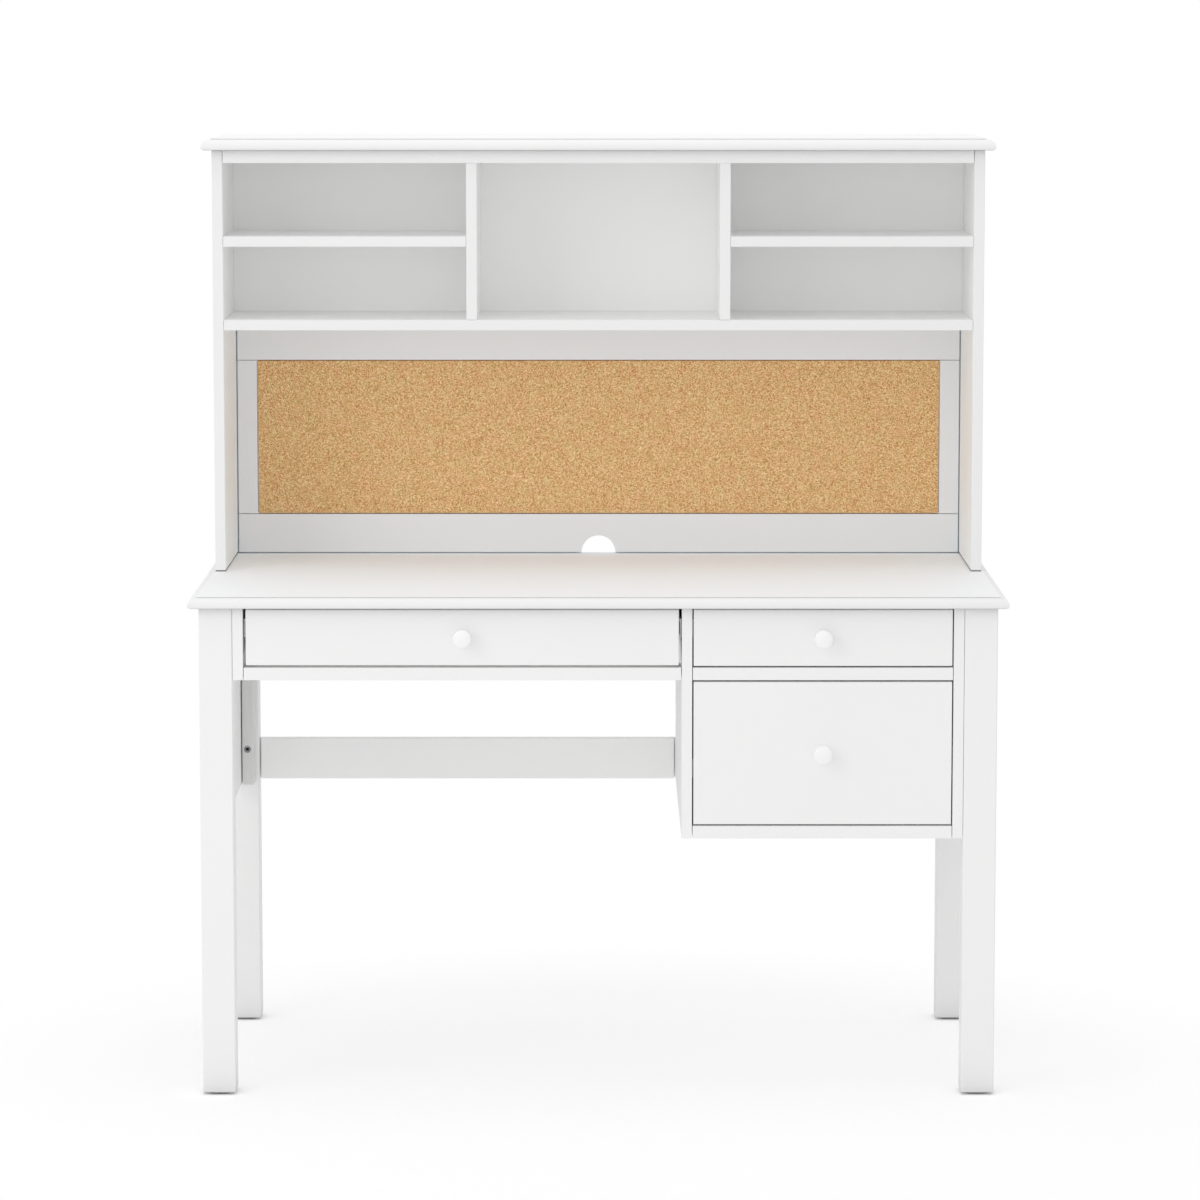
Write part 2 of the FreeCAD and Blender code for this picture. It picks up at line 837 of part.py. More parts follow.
def grooved_side(name, corner, turn, box_height):
    """A drawer side with a groove along its inner face for the drawer's bottom."""
    thick = size.box_side_thickness
    groove_top = size.bottom_rise + size.bottom_thickness + size.groove_clearance
    section = [
        (zero, zero),
        (thick, zero),
        (thick, size.bottom_rise),
        (thick - size.groove_depth, size.bottom_rise),
        (thick - size.groove_depth, groove_top),
        (thick, groove_top),
        (thick, box_height),
        (zero, box_height),
    ]
    body = new_body(name, corner, turn)
    sketch = outline(body, "XZ_Plane", section)
    pad(body, sketch, box_back - front_back, reverse=True)
    return body


def turned_knob(name, seat):
    """A round turned knob: a base on the drawer front, a tapered neck and a flat-domed head."""
    body = new_body(name, seat, TURN_TO_FRONT)
    base = size.knob_base_diameter / 2
    neck = size.knob_neck_diameter / 2
    head = size.knob_head_diameter / 2
    rise = size.knob_reach - size.knob_head_edge
    dome_radius = (head.value ** 2 + rise.value ** 2) / (2 * rise.value)
    dome = Size(
        f"(({head.text} * {head.text} + {rise.text} * {rise.text}) / (2 * {rise.text}))",
        dome_radius,
    )
    section = [
        (zero, zero),
        (size.knob_reach, zero, (size.knob_reach - dome, zero)),
        (size.knob_head_edge, head),
        (size.knob_head_back, head),
        (size.knob_neck_length, neck),
        (size.knob_base_length, base),
        (zero, base),
    ]
    turned = revolve(body, outline(body, "XY_Plane", section))
    rim_reach = SIZES["knob_head_diameter"] - SIZES["edge_ease"]
    rim = edges_where(turned, lambda edge: edge.BoundBox.YLength > rim_reach)
    rounded = body.newObject("PartDesign::Fillet", f"{name}_rounded")
    rounded.Base = (turned, rim)
    rounded.setExpression("Radius", size.knob_edge_radius.text)
    return body


def build_drawers():
    """The three drawers, and the slide channels that stay in the case."""
    channels = build_drawer(
        "wide_drawer",
        wide_left,
        wide_right,
        size.wide_side_gap,
        shallow_bottom,
        shallow_top,
        size.shallow_box_height,
        size.shallow_slide_rise,
    )
    channels += build_drawer(
        "small_drawer",
        pedestal_left,
        pedestal_right,
        size.pedestal_side_gap,
        small_bottom,
        shallow_top,
        size.shallow_box_height,
        size.shallow_slide_rise,
    )
    channels += build_drawer(
        "deep_drawer",
        pedestal_left,
        pedestal_right,
        size.pedestal_side_gap,
        deep_bottom,
        deep_top,
        size.deep_box_height,
        size.deep_slide_rise,
    )
    group("slide_channels", channels)


def write_parts():
    """Check every object of the document and write each sub-part to its own file."""
    doc.recompute()
    for item in doc.Objects:
        if "Invalid" in item.State or "Error" in item.State:
            raise ValueError(f"{item.Name} failed: {item.State}")
    for item in sub_parts:
        if item.Shape.isNull() or not item.Shape.isValid():
            raise ValueError(f"{item.Label} has no valid shape")
    os.makedirs("parts", exist_ok=True)
    for item in sub_parts:
        item.Shape.exportStep(f"parts/{item.Label}.step")
    print(f"{len(sub_parts)} sub-parts written")


build_top()
build_end_frames()
build_case()
build_hutch()
build_drawers()
write_parts()
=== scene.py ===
import logging
import math
from collections.abc import Iterable, Iterator, Sequence
from dataclasses import dataclass, field
from enum import Enum

import bmesh
import bpy
from bmesh.types import BMEdge, BMFace, BMVert
from mathutils import Matrix, Vector


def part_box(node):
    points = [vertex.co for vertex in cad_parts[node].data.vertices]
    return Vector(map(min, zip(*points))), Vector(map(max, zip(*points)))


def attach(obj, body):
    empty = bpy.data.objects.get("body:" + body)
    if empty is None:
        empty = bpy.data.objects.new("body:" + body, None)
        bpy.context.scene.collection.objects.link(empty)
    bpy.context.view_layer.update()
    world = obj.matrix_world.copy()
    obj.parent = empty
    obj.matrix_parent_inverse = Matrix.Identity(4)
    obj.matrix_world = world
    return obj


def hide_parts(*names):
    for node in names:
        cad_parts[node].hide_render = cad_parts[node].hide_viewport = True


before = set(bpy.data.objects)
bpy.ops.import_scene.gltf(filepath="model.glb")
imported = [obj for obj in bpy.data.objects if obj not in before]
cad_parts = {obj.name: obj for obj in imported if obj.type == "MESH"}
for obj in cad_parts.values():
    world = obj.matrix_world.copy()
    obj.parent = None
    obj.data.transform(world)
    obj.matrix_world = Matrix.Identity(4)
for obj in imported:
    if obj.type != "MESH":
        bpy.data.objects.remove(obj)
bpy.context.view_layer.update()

LOG = logging.getLogger("student_desk")

FORWARD = Vector((0, -1, 0))
UP = Vector((0, 0, 1))
HAIRLINE = 0.00025
THIN_EASE = 0.0005
WELD = 1e-6
WHITE = (1.0, 1.0, 1.0, 1.0)

Colour = tuple[float, float, float]
Section = Sequence[tuple[float, float]]


class Body(str, Enum):
    """Rigid bodies that the pieces ride on."""

    DESK = "desk"
    WIDE_DRAWER = "wide_drawer"
    SMALL_DRAWER = "small_drawer"
    DEEP_DRAWER = "deep_drawer"

    @property
    def slides(self) -> str:
        """Body of the drawer's middle slide members."""
        return f"{self.value}_slides"


class Hand(Enum):
    """Which side of the desk a piece stands on, as a sign along X."""

    LEFT = -1
    RIGHT = 1

    @property
    def label(self) -> str:
        """The side's word in the names of nodes."""
        return self.name.lower()

    @property
    def inward(self) -> Vector:
        """The way from this side to the middle of the desk."""
        return Vector((-self.value, 0, 0))

    def outer(self, low: Vector, high: Vector) -> float:
        """A box's end on this side."""
        return low.x if self is Hand.LEFT else high.x


class Facing(Enum):
    """Which way a face looks, as a sign along Y."""

    FRONT = -1
    BACK = 1

    def face(self, low: Vector, high: Vector) -> float:
        """A box's face that looks this way."""
        return low.y if self is Facing.FRONT else high.y


class Socket:
    """A shader socket that can stand in sums: each operator adds its Math node."""

    def __init__(self, tree: "ShaderTree", source: bpy.types.NodeSocket) -> None:
        """Wrap one output socket of a tree."""
        self.tree = tree
        self.source = source

    def sum(self, operation: str, *terms: "Socket | float") -> "Socket":
        """Add a Math node with some terms."""
        return self.tree.node("ShaderNodeMath", {"operation": operation}, dict(enumerate(terms)))

    def vector(self, operation: str, *others: Colour, output: str | int = 0) -> "Socket":
        """Add a Vector Math node of this and other terms."""
        terms = dict(enumerate((self, *others)))
        return self.tree.node("ShaderNodeVectorMath", {"operation": operation}, terms, output)

    def __add__(self, other: "Socket | float") -> "Socket":
        """This plus other."""
        return self.sum("ADD", self, other)

    def __radd__(self, other: float) -> "Socket":
        """Other plus this."""
        return self.sum("ADD", other, self)

    def __mul__(self, other: "Socket | float") -> "Socket":
        """This times other."""
        return self.sum("MULTIPLY", self, other)


@dataclass(frozen=True)
class Noise:
    """Cloudy noise: features to the metre, finer layers, how strong these are, and a stretch."""

    scale: float = 1.0
    detail: float = 2.0
    rough: float = 0.5
    stretch: Colour | None = None


class ShaderTree:
    """The node tree of one material or of the world."""

    def __init__(self, owner: bpy.types.Material | bpy.types.World) -> None:
        """Empty the owner's tree."""
        owner.use_nodes = True
        self.tree = owner.node_tree
        self.tree.nodes.clear()

    def node(
        self,
        kind: str,
        settings: dict[str, object] | None = None,
        sockets: dict[str | int, object] | None = None,
        output: str | int = 0,
    ) -> Socket | None:
        """Add a node.

        Args:
            kind: the node's type.
            settings: attributes that are set first, with a ramp's stops under "stops".
            sockets: numbers, colours or sockets for its inputs, by name or by place.
            output: which of its outputs is wanted.

        Returns:
            The output, or None where the node has none.
        """
        made = self.tree.nodes.new(kind)
        for key, value in (settings or {}).items():
            if key == "stops":
                self.set_stops(made.color_ramp, value)
            else:
                setattr(made, key, value)
        for key, value in (sockets or {}).items():
            if isinstance(value, Socket):
                self.tree.links.new(value.source, made.inputs[key])
            else:
                made.inputs[key].default_value = value
        return Socket(self, made.outputs[output]) if made.outputs else None

    @staticmethod
    def set_stops(ramp: bpy.types.ColorRamp, stops: Sequence[tuple[float, Colour]]) -> None:
        """Lay out a ramp.

        Args:
            ramp: the ramp, with its two default stops.
            stops: positions and colours, in rising order.
        """
        while len(ramp.elements) < len(stops):
            ramp.elements.new(1.0)
        for element, (position, colour) in zip(ramp.elements, stops):
            element.position = position
            element.color = (*colour, 1.0)

    def place(self) -> Socket:
        """Coordinates of the piece itself, in metres."""
        return self.node("ShaderNodeTexCoord", output="Object")

    def noise(self, noise: Noise) -> Socket:
        """Read a noise over the piece.

        Args:
            noise: its sizes.

        Returns:
            A value near one half.
        """
        place = self.place()
        if noise.stretch:
            place = self.node("ShaderNodeMapping", None, {"Vector": place, "Scale": noise.stretch})
        sockets = {"Vector": place, "Scale": noise.scale, "Detail": noise.detail, "Roughness": noise.rough}
        return self.node("ShaderNodeTexNoise", None, sockets)

    def blend(self, factor: Socket, first: Colour, second: Colour) -> Socket:
        """Mix two colours by the share of the second."""
        sockets = {0: factor, 6: (*first, 1.0), 7: (*second, 1.0)}
        return self.node("ShaderNodeMix", {"data_type": "RGBA"}, sockets, output=2)

    def tones(self, factor: Socket, colour: Colour, limits: tuple[float, float]) -> Socket:
        """A colour that runs from a darker to a lighter tone of itself."""
        darker, lighter = (tuple(channel * tone for channel in colour) for tone in limits)
        return self.blend(factor, darker, lighter)

    def tint(self, colour: Socket, glaze: Socket) -> Socket:
        """A colour seen through a glaze."""
        settings = {"data_type": "RGBA", "blend_type": "MULTIPLY"}
        return self.node("ShaderNodeMix", settings, {0: 1.0, 6: colour, 7: glaze}, output=2)

    def ramp(self, factor: Socket, stops: Sequence[tuple[float, Colour]]) -> Socket:
        """Colours along a value."""
        return self.node("ShaderNodeValToRGB", {"stops": stops}, {"Fac": factor})

    def levels(self, value: Socket, low: float, high: float) -> Socket:
        """Spread the part of a value between low and high over 0 to 1."""
        sockets = {"Value": value, "From Min": low, "From Max": high}
        return self.node("ShaderNodeMapRange", {"clamp": True}, sockets)

    def bump(self, height: Socket, depth: float, strength: float = 1.0) -> Socket:
        """Normals of a relief of some depth in metres."""
        sockets = {"Height": height, "Distance": depth, "Strength": strength}
        return self.node("ShaderNodeBump", None, sockets)

    def surface(self, sockets: dict[str | int, object]) -> None:
        """End the tree with a Principled shader that has some inputs."""
        shader = self.node("ShaderNodeBsdfPrincipled", None, sockets)
        self.node("ShaderNodeOutputMaterial", None, {"Surface": shader})


def around(value: float, noise: Socket, spread: float) -> Socket:
    """A value that a noise moves by half a spread either way."""
    return value - spread / 2 + noise * spread


@dataclass(frozen=True)
class Finish:
    """A finish: its material's name, the record's slot and the main colour."""

    name: str
    slot: str
    colour: Colour

    def material(self) -> bpy.types.Material:
        """The finish's material, made on first use."""
        found = bpy.data.materials.get(self.name)
        if found is None:
            found = bpy.data.materials.new(self.name)
            self.lay(ShaderTree(found))
        return found

    def lay(self, tree: ShaderTree) -> None:
        """Fill the material's tree."""
        raise NotImplementedError


@dataclass(frozen=True)
class SatinPaint(Finish):
    """Sprayed satin paint: a faint drift of tone over a fine orange peel."""

    roughness: float = 0.55
    spread: float = 0.1
    drift: tuple[float, float] = (0.988, 1.012)
    clouds: Noise = Noise(3.5, 3.0, 0.55)
    haze: Noise = Noise(45.0, 3.0, 0.6)
    haze_share: float = 0.6
    peel: Noise = Noise(620.0, 1.5, 0.4)
    peel_depth: float = 0.00002
    gloss: float = 0.14

    def lay(self, tree: ShaderTree) -> None:
        """Fill the material's tree."""
        haze = tree.noise(self.haze)
        relief = tree.noise(self.peel) + haze * self.haze_share
        tree.surface({
            "Base Color": tree.tones(tree.noise(self.clouds), self.colour, self.drift),
            "Roughness": around(self.roughness, haze, self.spread),
            "Normal": tree.bump(relief, self.peel_depth),
            "Specular IOR Level": self.gloss,
        })


@dataclass(frozen=True)
class GrainedBoard(Finish):
    """A pressed or sawn board, hardboard unless told otherwise: a fine grain over slow clouds."""

    fleck: tuple[float, float] = (0.98, 1.02)
    grain: Noise = Noise(1.0, 3.0, 0.7, (420.0, 420.0, 150.0))
    grain_share: float = 0.6
    grain_depth: float = 0.00005
    clouds: Noise = Noise(9.0, 3.0)
    roughness: float = 0.6
    spread: float = 0.1
    gloss: float = 0.35

    def lay(self, tree: ShaderTree) -> None:
        """Fill the material's tree."""
        grain = tree.noise(self.grain)
        mixed = grain * self.grain_share + tree.noise(self.clouds) * (1 - self.grain_share)
        tree.surface({
            "Base Color": tree.tones(mixed, self.colour, self.fleck),
            "Roughness": around(self.roughness, grain, self.spread),
            "Normal": tree.bump(grain, self.grain_depth),
            "Specular IOR Level": self.gloss,
        })


@dataclass(frozen=True)
class PressedCork(Finish):
    """Fine pressed cork: small grains, darker flecks and slow warm clouds."""

    grain_size: float = 0.00095
    grain_share: float = 0.8
    grain_limits: tuple[float, float] = (0.16, 0.84)
    dust: Noise = Noise(820.0, 2.0, 0.6)
    clouds: Noise = Noise(55.0, 3.0, 0.6)
    cloud_limits: tuple[float, float] = (0.3, 0.7)
    fleck: Colour = (0.46, 0.19, 0.035)
    pale: Colour = (1.0, 0.81, 0.48)
    warm: Colour = (1.0, 0.90, 0.90)
    straw: Colour = (0.96, 1.0, 0.93)
    roughness: float = 0.79
    spread: float = -0.12
    relief: float = 0.0004
    relief_strength: float = 0.5
    gloss: float = 0.25

    def lay(self, tree: ShaderTree) -> None:
        """Fill the material's tree."""
        settings = {"voronoi_dimensions": "3D", "feature": "F1"}
        sockets = {"Vector": tree.place(), "Scale": 1 / self.grain_size, "Randomness": 1.0}
        cell = tree.node("ShaderNodeTexVoronoi", settings, sockets, output="Color")
        lot = tree.node("ShaderNodeSeparateColor", None, {0: cell}, output=0)
        dust = tree.noise(self.dust)
        mixed = tree.levels(lot * self.grain_share + dust * (1 - self.grain_share), *self.grain_limits)
        grains = tree.ramp(mixed, [(0.0, self.fleck), (0.5, self.colour), (1.0, self.pale)])
        clouds = tree.levels(tree.noise(self.clouds), *self.cloud_limits)
        tree.surface({
            "Base Color": tree.tint(grains, tree.blend(clouds, self.warm, self.straw)),
            "Roughness": around(self.roughness, lot, self.spread),
            "Normal": tree.bump((lot + dust) * 0.5, self.relief, self.relief_strength),
            "Specular IOR Level": self.gloss,
        })


@dataclass(frozen=True)
class DrawnSteel(Finish):
    """Plated steel with fine drawing marks along the slide."""

    roughness: float = 0.36
    spread: float = 0.16
    marks: Noise = Noise(1.0, 2.0, 0.6, (2600.0, 18.0, 2600.0))
    mark_depth: float = 0.00001
    bloom: Noise = Noise(60.0, 3.0, 0.6)
    bloom_tones: tuple[float, float] = (0.86, 1.06)

    def lay(self, tree: ShaderTree) -> None:
        """Fill the material's tree."""
        marks, bloom = tree.noise(self.marks), tree.noise(self.bloom)
        tree.surface({
            "Base Color": tree.tones(bloom, self.colour, self.bloom_tones),
            "Metallic": 1.0,
            "Roughness": around(self.roughness, (marks + bloom) * 0.5, self.spread),
            "Normal": tree.bump(marks, self.mark_depth),
        })


@dataclass(frozen=True)
class Nylon(Finish):
    """Moulded nylon with a fine matt grain."""

    roughness: float = 0.55
    spread: float = 0.1
    grain: Noise = Noise(1500.0, 1.0)
    grain_depth: float = 0.00003
    grain_tones: tuple[float, float] = (0.96, 1.03)

    def lay(self, tree: ShaderTree) -> None:
        """Fill the material's tree."""
        grain = tree.noise(self.grain)
        tree.surface({
            "Base Color": tree.tones(grain, self.colour, self.grain_tones),
            "Roughness": around(self.roughness, grain, self.spread),
            "Normal": tree.bump(grain, self.grain_depth),
        })


PAINT = SatinPaint("white_satin_paint", "white_paint", (0.92, 0.92, 0.918))
# A darker copy of the white paint for the moulded edges and the front edges of shelves, sides and dividers:
# painted shade that tones down how bright they catch the light.
SHADED_EDGE_PAINT = SatinPaint("edge_paint_painted_shade", "white_paint", (0.88, 0.88, 0.878))
# The desktop's top face: white paint tinted cool to cancel the warm light that the cork throws on it, which
# is painted light.
COOLED_TOP_PAINT = SatinPaint("top_satin_paint", "white_paint", (0.925, 0.944, 0.962))
# Inner faces of the hutch's sides beside the pinboard: white paint tinted cool to cancel the cork's warm
# bounce light, which is painted light.
COOLED_BAY_PAINT = SatinPaint("bay_satin_paint", "white_paint", (0.93, 0.965, 0.985))
# A lighter copy of the white paint for faces that get too little light, in the cubbies and on the stretcher:
# painted light.
LIGHTENED_PAINT = SatinPaint("bright_satin_paint", "white_paint", (0.975, 0.975, 0.973))
# Dark grey strips under the overhanging tops and under the hutch's sides, which paint the shade that falls
# there.
SHADE_GREY = SatinPaint("painted_shade_grey", "white_paint", (0.26, 0.26, 0.258), roughness=0.7)
# A darker copy of the white paint, a touch cooler, for the pinboard frame: painted shade in the back of the
# hutch.
SHADED_FRAME_PAINT = SatinPaint("frame_paint_painted_shade", "white_paint", (0.85, 0.86, 0.872))
# A much darker copy of the white paint for the corner cleats deep behind the legs: painted shade.
SHADED_CLEAT_PAINT = SatinPaint("cleat_paint_painted_shade", "white_paint", (0.77, 0.77, 0.768))
# A lighter copy of the white paint for the knobs, so that they stand out bright against the fronts: painted
# light.
LIT_KNOB_PAINT = SatinPaint("knob_paint_painted_light", "white_paint", (0.96, 0.96, 0.958), roughness=0.42)
LAMINATE = GrainedBoard(
    "drawer_laminate",
    "white_laminate",
    (0.80, 0.80, 0.785),
    fleck=(0.97, 1.02),
    grain=Noise(1.0, 3.0, 0.6, (160.0, 6.0, 160.0)),
    grain_share=0.4,
    grain_depth=0.00004,
    clouds=Noise(5.0),
    roughness=0.5,
    spread=0.12,
    gloss=0.4,
)
WHITE_BOARD = GrainedBoard("white_faced_hardboard", "white_hardboard", (0.78, 0.78, 0.77))
BROWN_BOARD = GrainedBoard("brown_hardboard", "brown_hardboard", (0.20, 0.105, 0.045), fleck=(0.78, 1.22))
BEECH = GrainedBoard(
    "bare_beech",
    "bare_wood",
    (0.56, 0.37, 0.20),
    fleck=(0.82, 1.12),
    grain=Noise(1.0, 2.0, 0.6, (900.0, 900.0, 60.0)),
    grain_share=0.5,
    clouds=Noise(1.0, 3.0, 0.5, (120.0, 120.0, 8.0)),
    roughness=0.65,
    gloss=0.5,
)
CORK = PressedCork("pressed_cork", "cork", (0.80, 0.49, 0.215))
STEEL = DrawnSteel("zinc_plated_steel", "slide_steel", (0.62, 0.63, 0.65))
DARK_STEEL = DrawnSteel("dark_plated_steel", "dark_steel", (0.34, 0.34, 0.345), roughness=0.44)
# Grey nylon for the glides, dark enough to stand in for the contact shadow under the feet: partly painted
# shade.
NYLON_AND_SHADE = Nylon("grey_nylon", "glide_plastic", (0.34, 0.34, 0.336))


def only(kind: type, geom: Iterable[object]) -> list:
    """The items of one kind in an operator's result."""
    return [item for item in geom if isinstance(item, kind)]


def edges_of(verts: Iterable[BMVert]) -> list[BMEdge]:
    """All edges that meet at some vertices."""
    return list({edge for vert in verts for edge in vert.link_edges})


class Bench:
    """One piece in the making: a mesh that operators shape, and its hand-over to the frame."""

    ARC_STEP = 0.0006
    ARC_LEAST = 4
    SAME_WAY = 0.7
    FLAT_ON = 0.999
    HOLE_CORNERS = 40
    SHARP = math.radians(40)

    def __init__(self) -> None:
        """Start with an empty mesh."""
        self.bm = bmesh.new()
        self.coats: list[Finish] = []

    def bevel(self, geom: Iterable[object], radius: float, steps: int = 3, affect: str = "EDGES") -> None:
        """Round some edges, or a corner of a wire.

        Args:
            geom: the edges, or the corner and its edges.
            radius: width of the round on each side.
            steps: steps of the round, where one gives a flat bevel.
            affect: whether edges or corners are rounded.
        """
        bmesh.ops.bevel(
            self.bm,
            geom=list(geom),
            offset=radius,
            segments=steps,
            profile=0.5,
            affect=affect,
            material=-1,
            clamp_overlap=True,
        )

    def slab(self, low: Vector, high: Vector, ease: float = 0.001) -> None:
        """Add a board between two opposite corners.

        Args:
            low: its lowest corner.
            high: its highest corner.
            ease: radius of its eased edges.
        """
        verts = bmesh.ops.create_cube(self.bm, size=1.0)["verts"]
        bmesh.ops.scale(self.bm, vec=high - low, verts=verts)
        bmesh.ops.translate(self.bm, vec=(low + high) / 2, verts=verts)
        if ease:
            self.bevel(edges_of(verts), ease)

    def wire(self, points: Sequence[Vector], closed: bool) -> list[BMVert]:
        """Add a run of straight edges.

        Args:
            points: its corners.
            closed: whether the last corner leads back to the first.

        Returns:
            The corners' vertices.
        """
        verts = [self.bm.verts.new(point) for point in points]
        ends = verts[1:] + verts[:1] if closed else verts[1:]
        for start, end in zip(verts, ends):
            self.bm.edges.new((start, end))
        return verts

    def draw_out(self, faces: Sequence[BMFace], path: Vector) -> list[object]:
        """Draw faces out.

        Args:
            faces: the faces.
            path: the way and the distance that they are drawn.

        Returns:
            All that the operator made.
        """
        drawn = bmesh.ops.extrude_face_region(self.bm, geom=faces)["geom"]
        bmesh.ops.translate(self.bm, vec=path, verts=only(BMVert, drawn))
        return drawn

    def prism(self, outline: Sequence[Vector], path: Vector, corner: float = 0.0, ease: float = 0.0) -> None:
        """Add a flat outline drawn out into a solid.

        Args:
            outline: its corners in order.
            path: the way and the distance that it is drawn out.
            corner: radius of its rounded corners.
            ease: radius of its eased edges.
        """
        known = set(self.bm.verts)
        for vert in self.wire(outline, closed=True):
            if corner:
                self.bevel([vert, *vert.link_edges], corner, affect="VERTICES")
        edges = edges_of(set(self.bm.verts) - known)
        self.draw_out(bmesh.ops.contextual_create(self.bm, geom=edges)["faces"], path)
        if ease:
            self.bevel(edges_of(set(self.bm.verts) - known), ease, 2)

    def pair(self, section: Section, box: tuple[Vector, Vector], level: float, **rounds: float) -> None:
        """Add a strip along each end of a box, from its front to its back.

        Args:
            section: the strip's points, across from the box's end and up from a level.
            box: the box's lowest and highest corner.
            level: that level.
            rounds: the strips' corner and ease.
        """
        front, back = box[0].y, box[1].y
        for hand in Hand:
            outer = hand.outer(*box)
            outline = [Vector((outer - hand.value * across, front, level + up)) for across, up in section]
            self.prism(outline, Vector((0, back - front, 0)), **rounds)

    def turning(
        self,
        seat: Vector,
        axis: Vector,
        profile: Sequence[tuple[float, float, float]],
        steps: int,
    ) -> None:
        """Add a turned shape.

        Args:
            seat: where its axis starts.
            axis: the way that the axis runs.
            profile: distance along the axis, radius and corner round of each point.
            steps: steps of the turn.
        """
        known = set(self.bm.verts)
        side = axis.orthogonal().normalized()
        points = [seat + axis * along + side * radius for along, radius, _ in profile]
        for vert, (_, _, corner) in zip(self.wire(points, closed=False), profile):
            if corner:
                arc = max(self.ARC_LEAST, round(corner / self.ARC_STEP))
                self.bevel([vert, *vert.link_edges], corner, arc, "VERTICES")
        fresh = set(self.bm.verts) - known
        bmesh.ops.spin(
            self.bm,
            geom=[*fresh, *edges_of(fresh)],
            cent=seat,
            axis=axis,
            angle=math.tau,
            steps=steps,
            use_merge=True,
        )
        bmesh.ops.remove_doubles(self.bm, verts=list(set(self.bm.verts) - known), dist=WELD)

    def ring(self, centre: Vector, way: Vector, radius: float, corners: int) -> list[BMEdge]:
        """Add a ring of edges.

        Args:
            centre: its middle.
            way: its axis.
            radius: distance of its corners from the middle.
            corners: how many it has.

        Returns:
            The edges.
        """
        matrix = Matrix.Translation(centre) @ UP.rotation_difference(way).to_matrix().to_4x4()
        made = bmesh.ops.create_circle(self.bm, segments=corners, radius=radius, matrix=matrix)
        return edges_of(made["verts"])

    def sink(self, mouth: Sequence[BMEdge], path: Vector) -> None:
        """Draw a closed mouth inwards and give it a floor.

        Args:
            mouth: the mouth's edges.
            path: the way and the distance that it is drawn.
        """
        drawn = bmesh.ops.extrude_edge_only(self.bm, edges=mouth)["geom"]
        verts = only(BMVert, drawn)
        bmesh.ops.translate(self.bm, vec=path, verts=verts)
        floor = [edge for edge in only(BMEdge, drawn) if all(vert in verts for vert in edge.verts)]
        bmesh.ops.contextual_create(self.bm, geom=floor)

    def sink_holes(self, way: Vector, centres: Sequence[Vector], radius: float, depth: float) -> None:
        """Sink round blind holes into the largest face that looks one way.

        Args:
            way: the face's normal.
            centres: the holes' middles on that face.
            radius: their radius.
            depth: their depth.
        """
        self.bm.normal_update()
        facing = [face for face in self.bm.faces if face.normal.dot(way) > self.FLAT_ON]
        face = max(facing, key=lambda face: face.calc_area())
        rim = list(face.edges)
        bmesh.ops.delete(self.bm, geom=[face], context="FACES_ONLY")
        for centre in centres:
            mouth = self.ring(centre, way, radius, self.HOLE_CORNERS)
            rim += mouth
            self.sink(mouth, -way * depth)
        bmesh.ops.triangle_fill(self.bm, use_beauty=True, edges=rim)

    def coat(self, way: Vector, finish: Finish, below: float = math.inf, above: float = -math.inf) -> None:
        """Give the faces that look one way a finish of their own.

        Args:
            way: the faces' normal.
            finish: their finish.
            below: only faces whose middle is below this height.
            above: only faces whose middle is above this height.
        """
        bmesh.ops.recalc_face_normals(self.bm, faces=self.bm.faces[:])
        self.coats.append(finish)
        for face in self.bm.faces:
            if face.normal.dot(way) > self.SAME_WAY and above < face.calc_center_median().z < below:
                face.material_index = len(self.coats)

    def cut(self, height: float) -> None:
        """Divide the faces along a level line, for a coat that ends there."""
        geom = [*self.bm.verts, *self.bm.edges, *self.bm.faces]
        bmesh.ops.bisect_plane(self.bm, geom=geom, dist=WELD, plane_co=UP * height, plane_no=UP)

    def hand_over(self, name: str, finish: Finish, *nodes: str, body: str = Body.DESK.value) -> None:
        """Make the mesh an object that rides on a body and stands for some nodes.

        Args:
            name: the piece's name.
            finish: its finish.
            nodes: nodes of the frame that it stands for.
            body: the body that it rides on.
        """
        bmesh.ops.recalc_face_normals(self.bm, faces=self.bm.faces[:])
        for face in self.bm.faces:
            face.smooth = True
        mesh = bpy.data.meshes.new(name)
        self.bm.to_mesh(mesh)
        self.bm.free()
        mesh.set_sharp_from_angle(angle=self.SHARP)
        for coat in (finish, *self.coats):
            mesh.materials.append(coat.material())
        piece = bpy.data.objects.new(name, mesh)
        bpy.context.scene.collection.objects.link(piece)
        weigh = piece.modifiers.new("flat_faces_first", "WEIGHTED_NORMAL")
        weigh.keep_sharp = True
        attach(piece, body)
        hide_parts(*nodes)
        LOG.info("%s rides on %s", name, body)


def plain_board(
    node: str,
    finish: Finish,
    ease: float = 0.001,
    hairline: Vector = Vector.Fill(3, HAIRLINE),
    front: Finish | None = None,
    body: str = Body.DESK.value,
) -> None:
    """Stand an eased board for a node that is one flat board.

    Args:
        node: the node.
        finish: its finish.
        ease: radius of its eased edges.
        hairline: its share of the joints along each axis.
        front: a finish of its own for the front edge.
        body: the body that it rides on.
    """
    low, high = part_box(node)
    bench = Bench()
    bench.slab(low + hairline, high - hairline, ease)
    if front:
        bench.coat(FORWARD, front)
    bench.hand_over(f"{node}_board", finish, node, body=body)


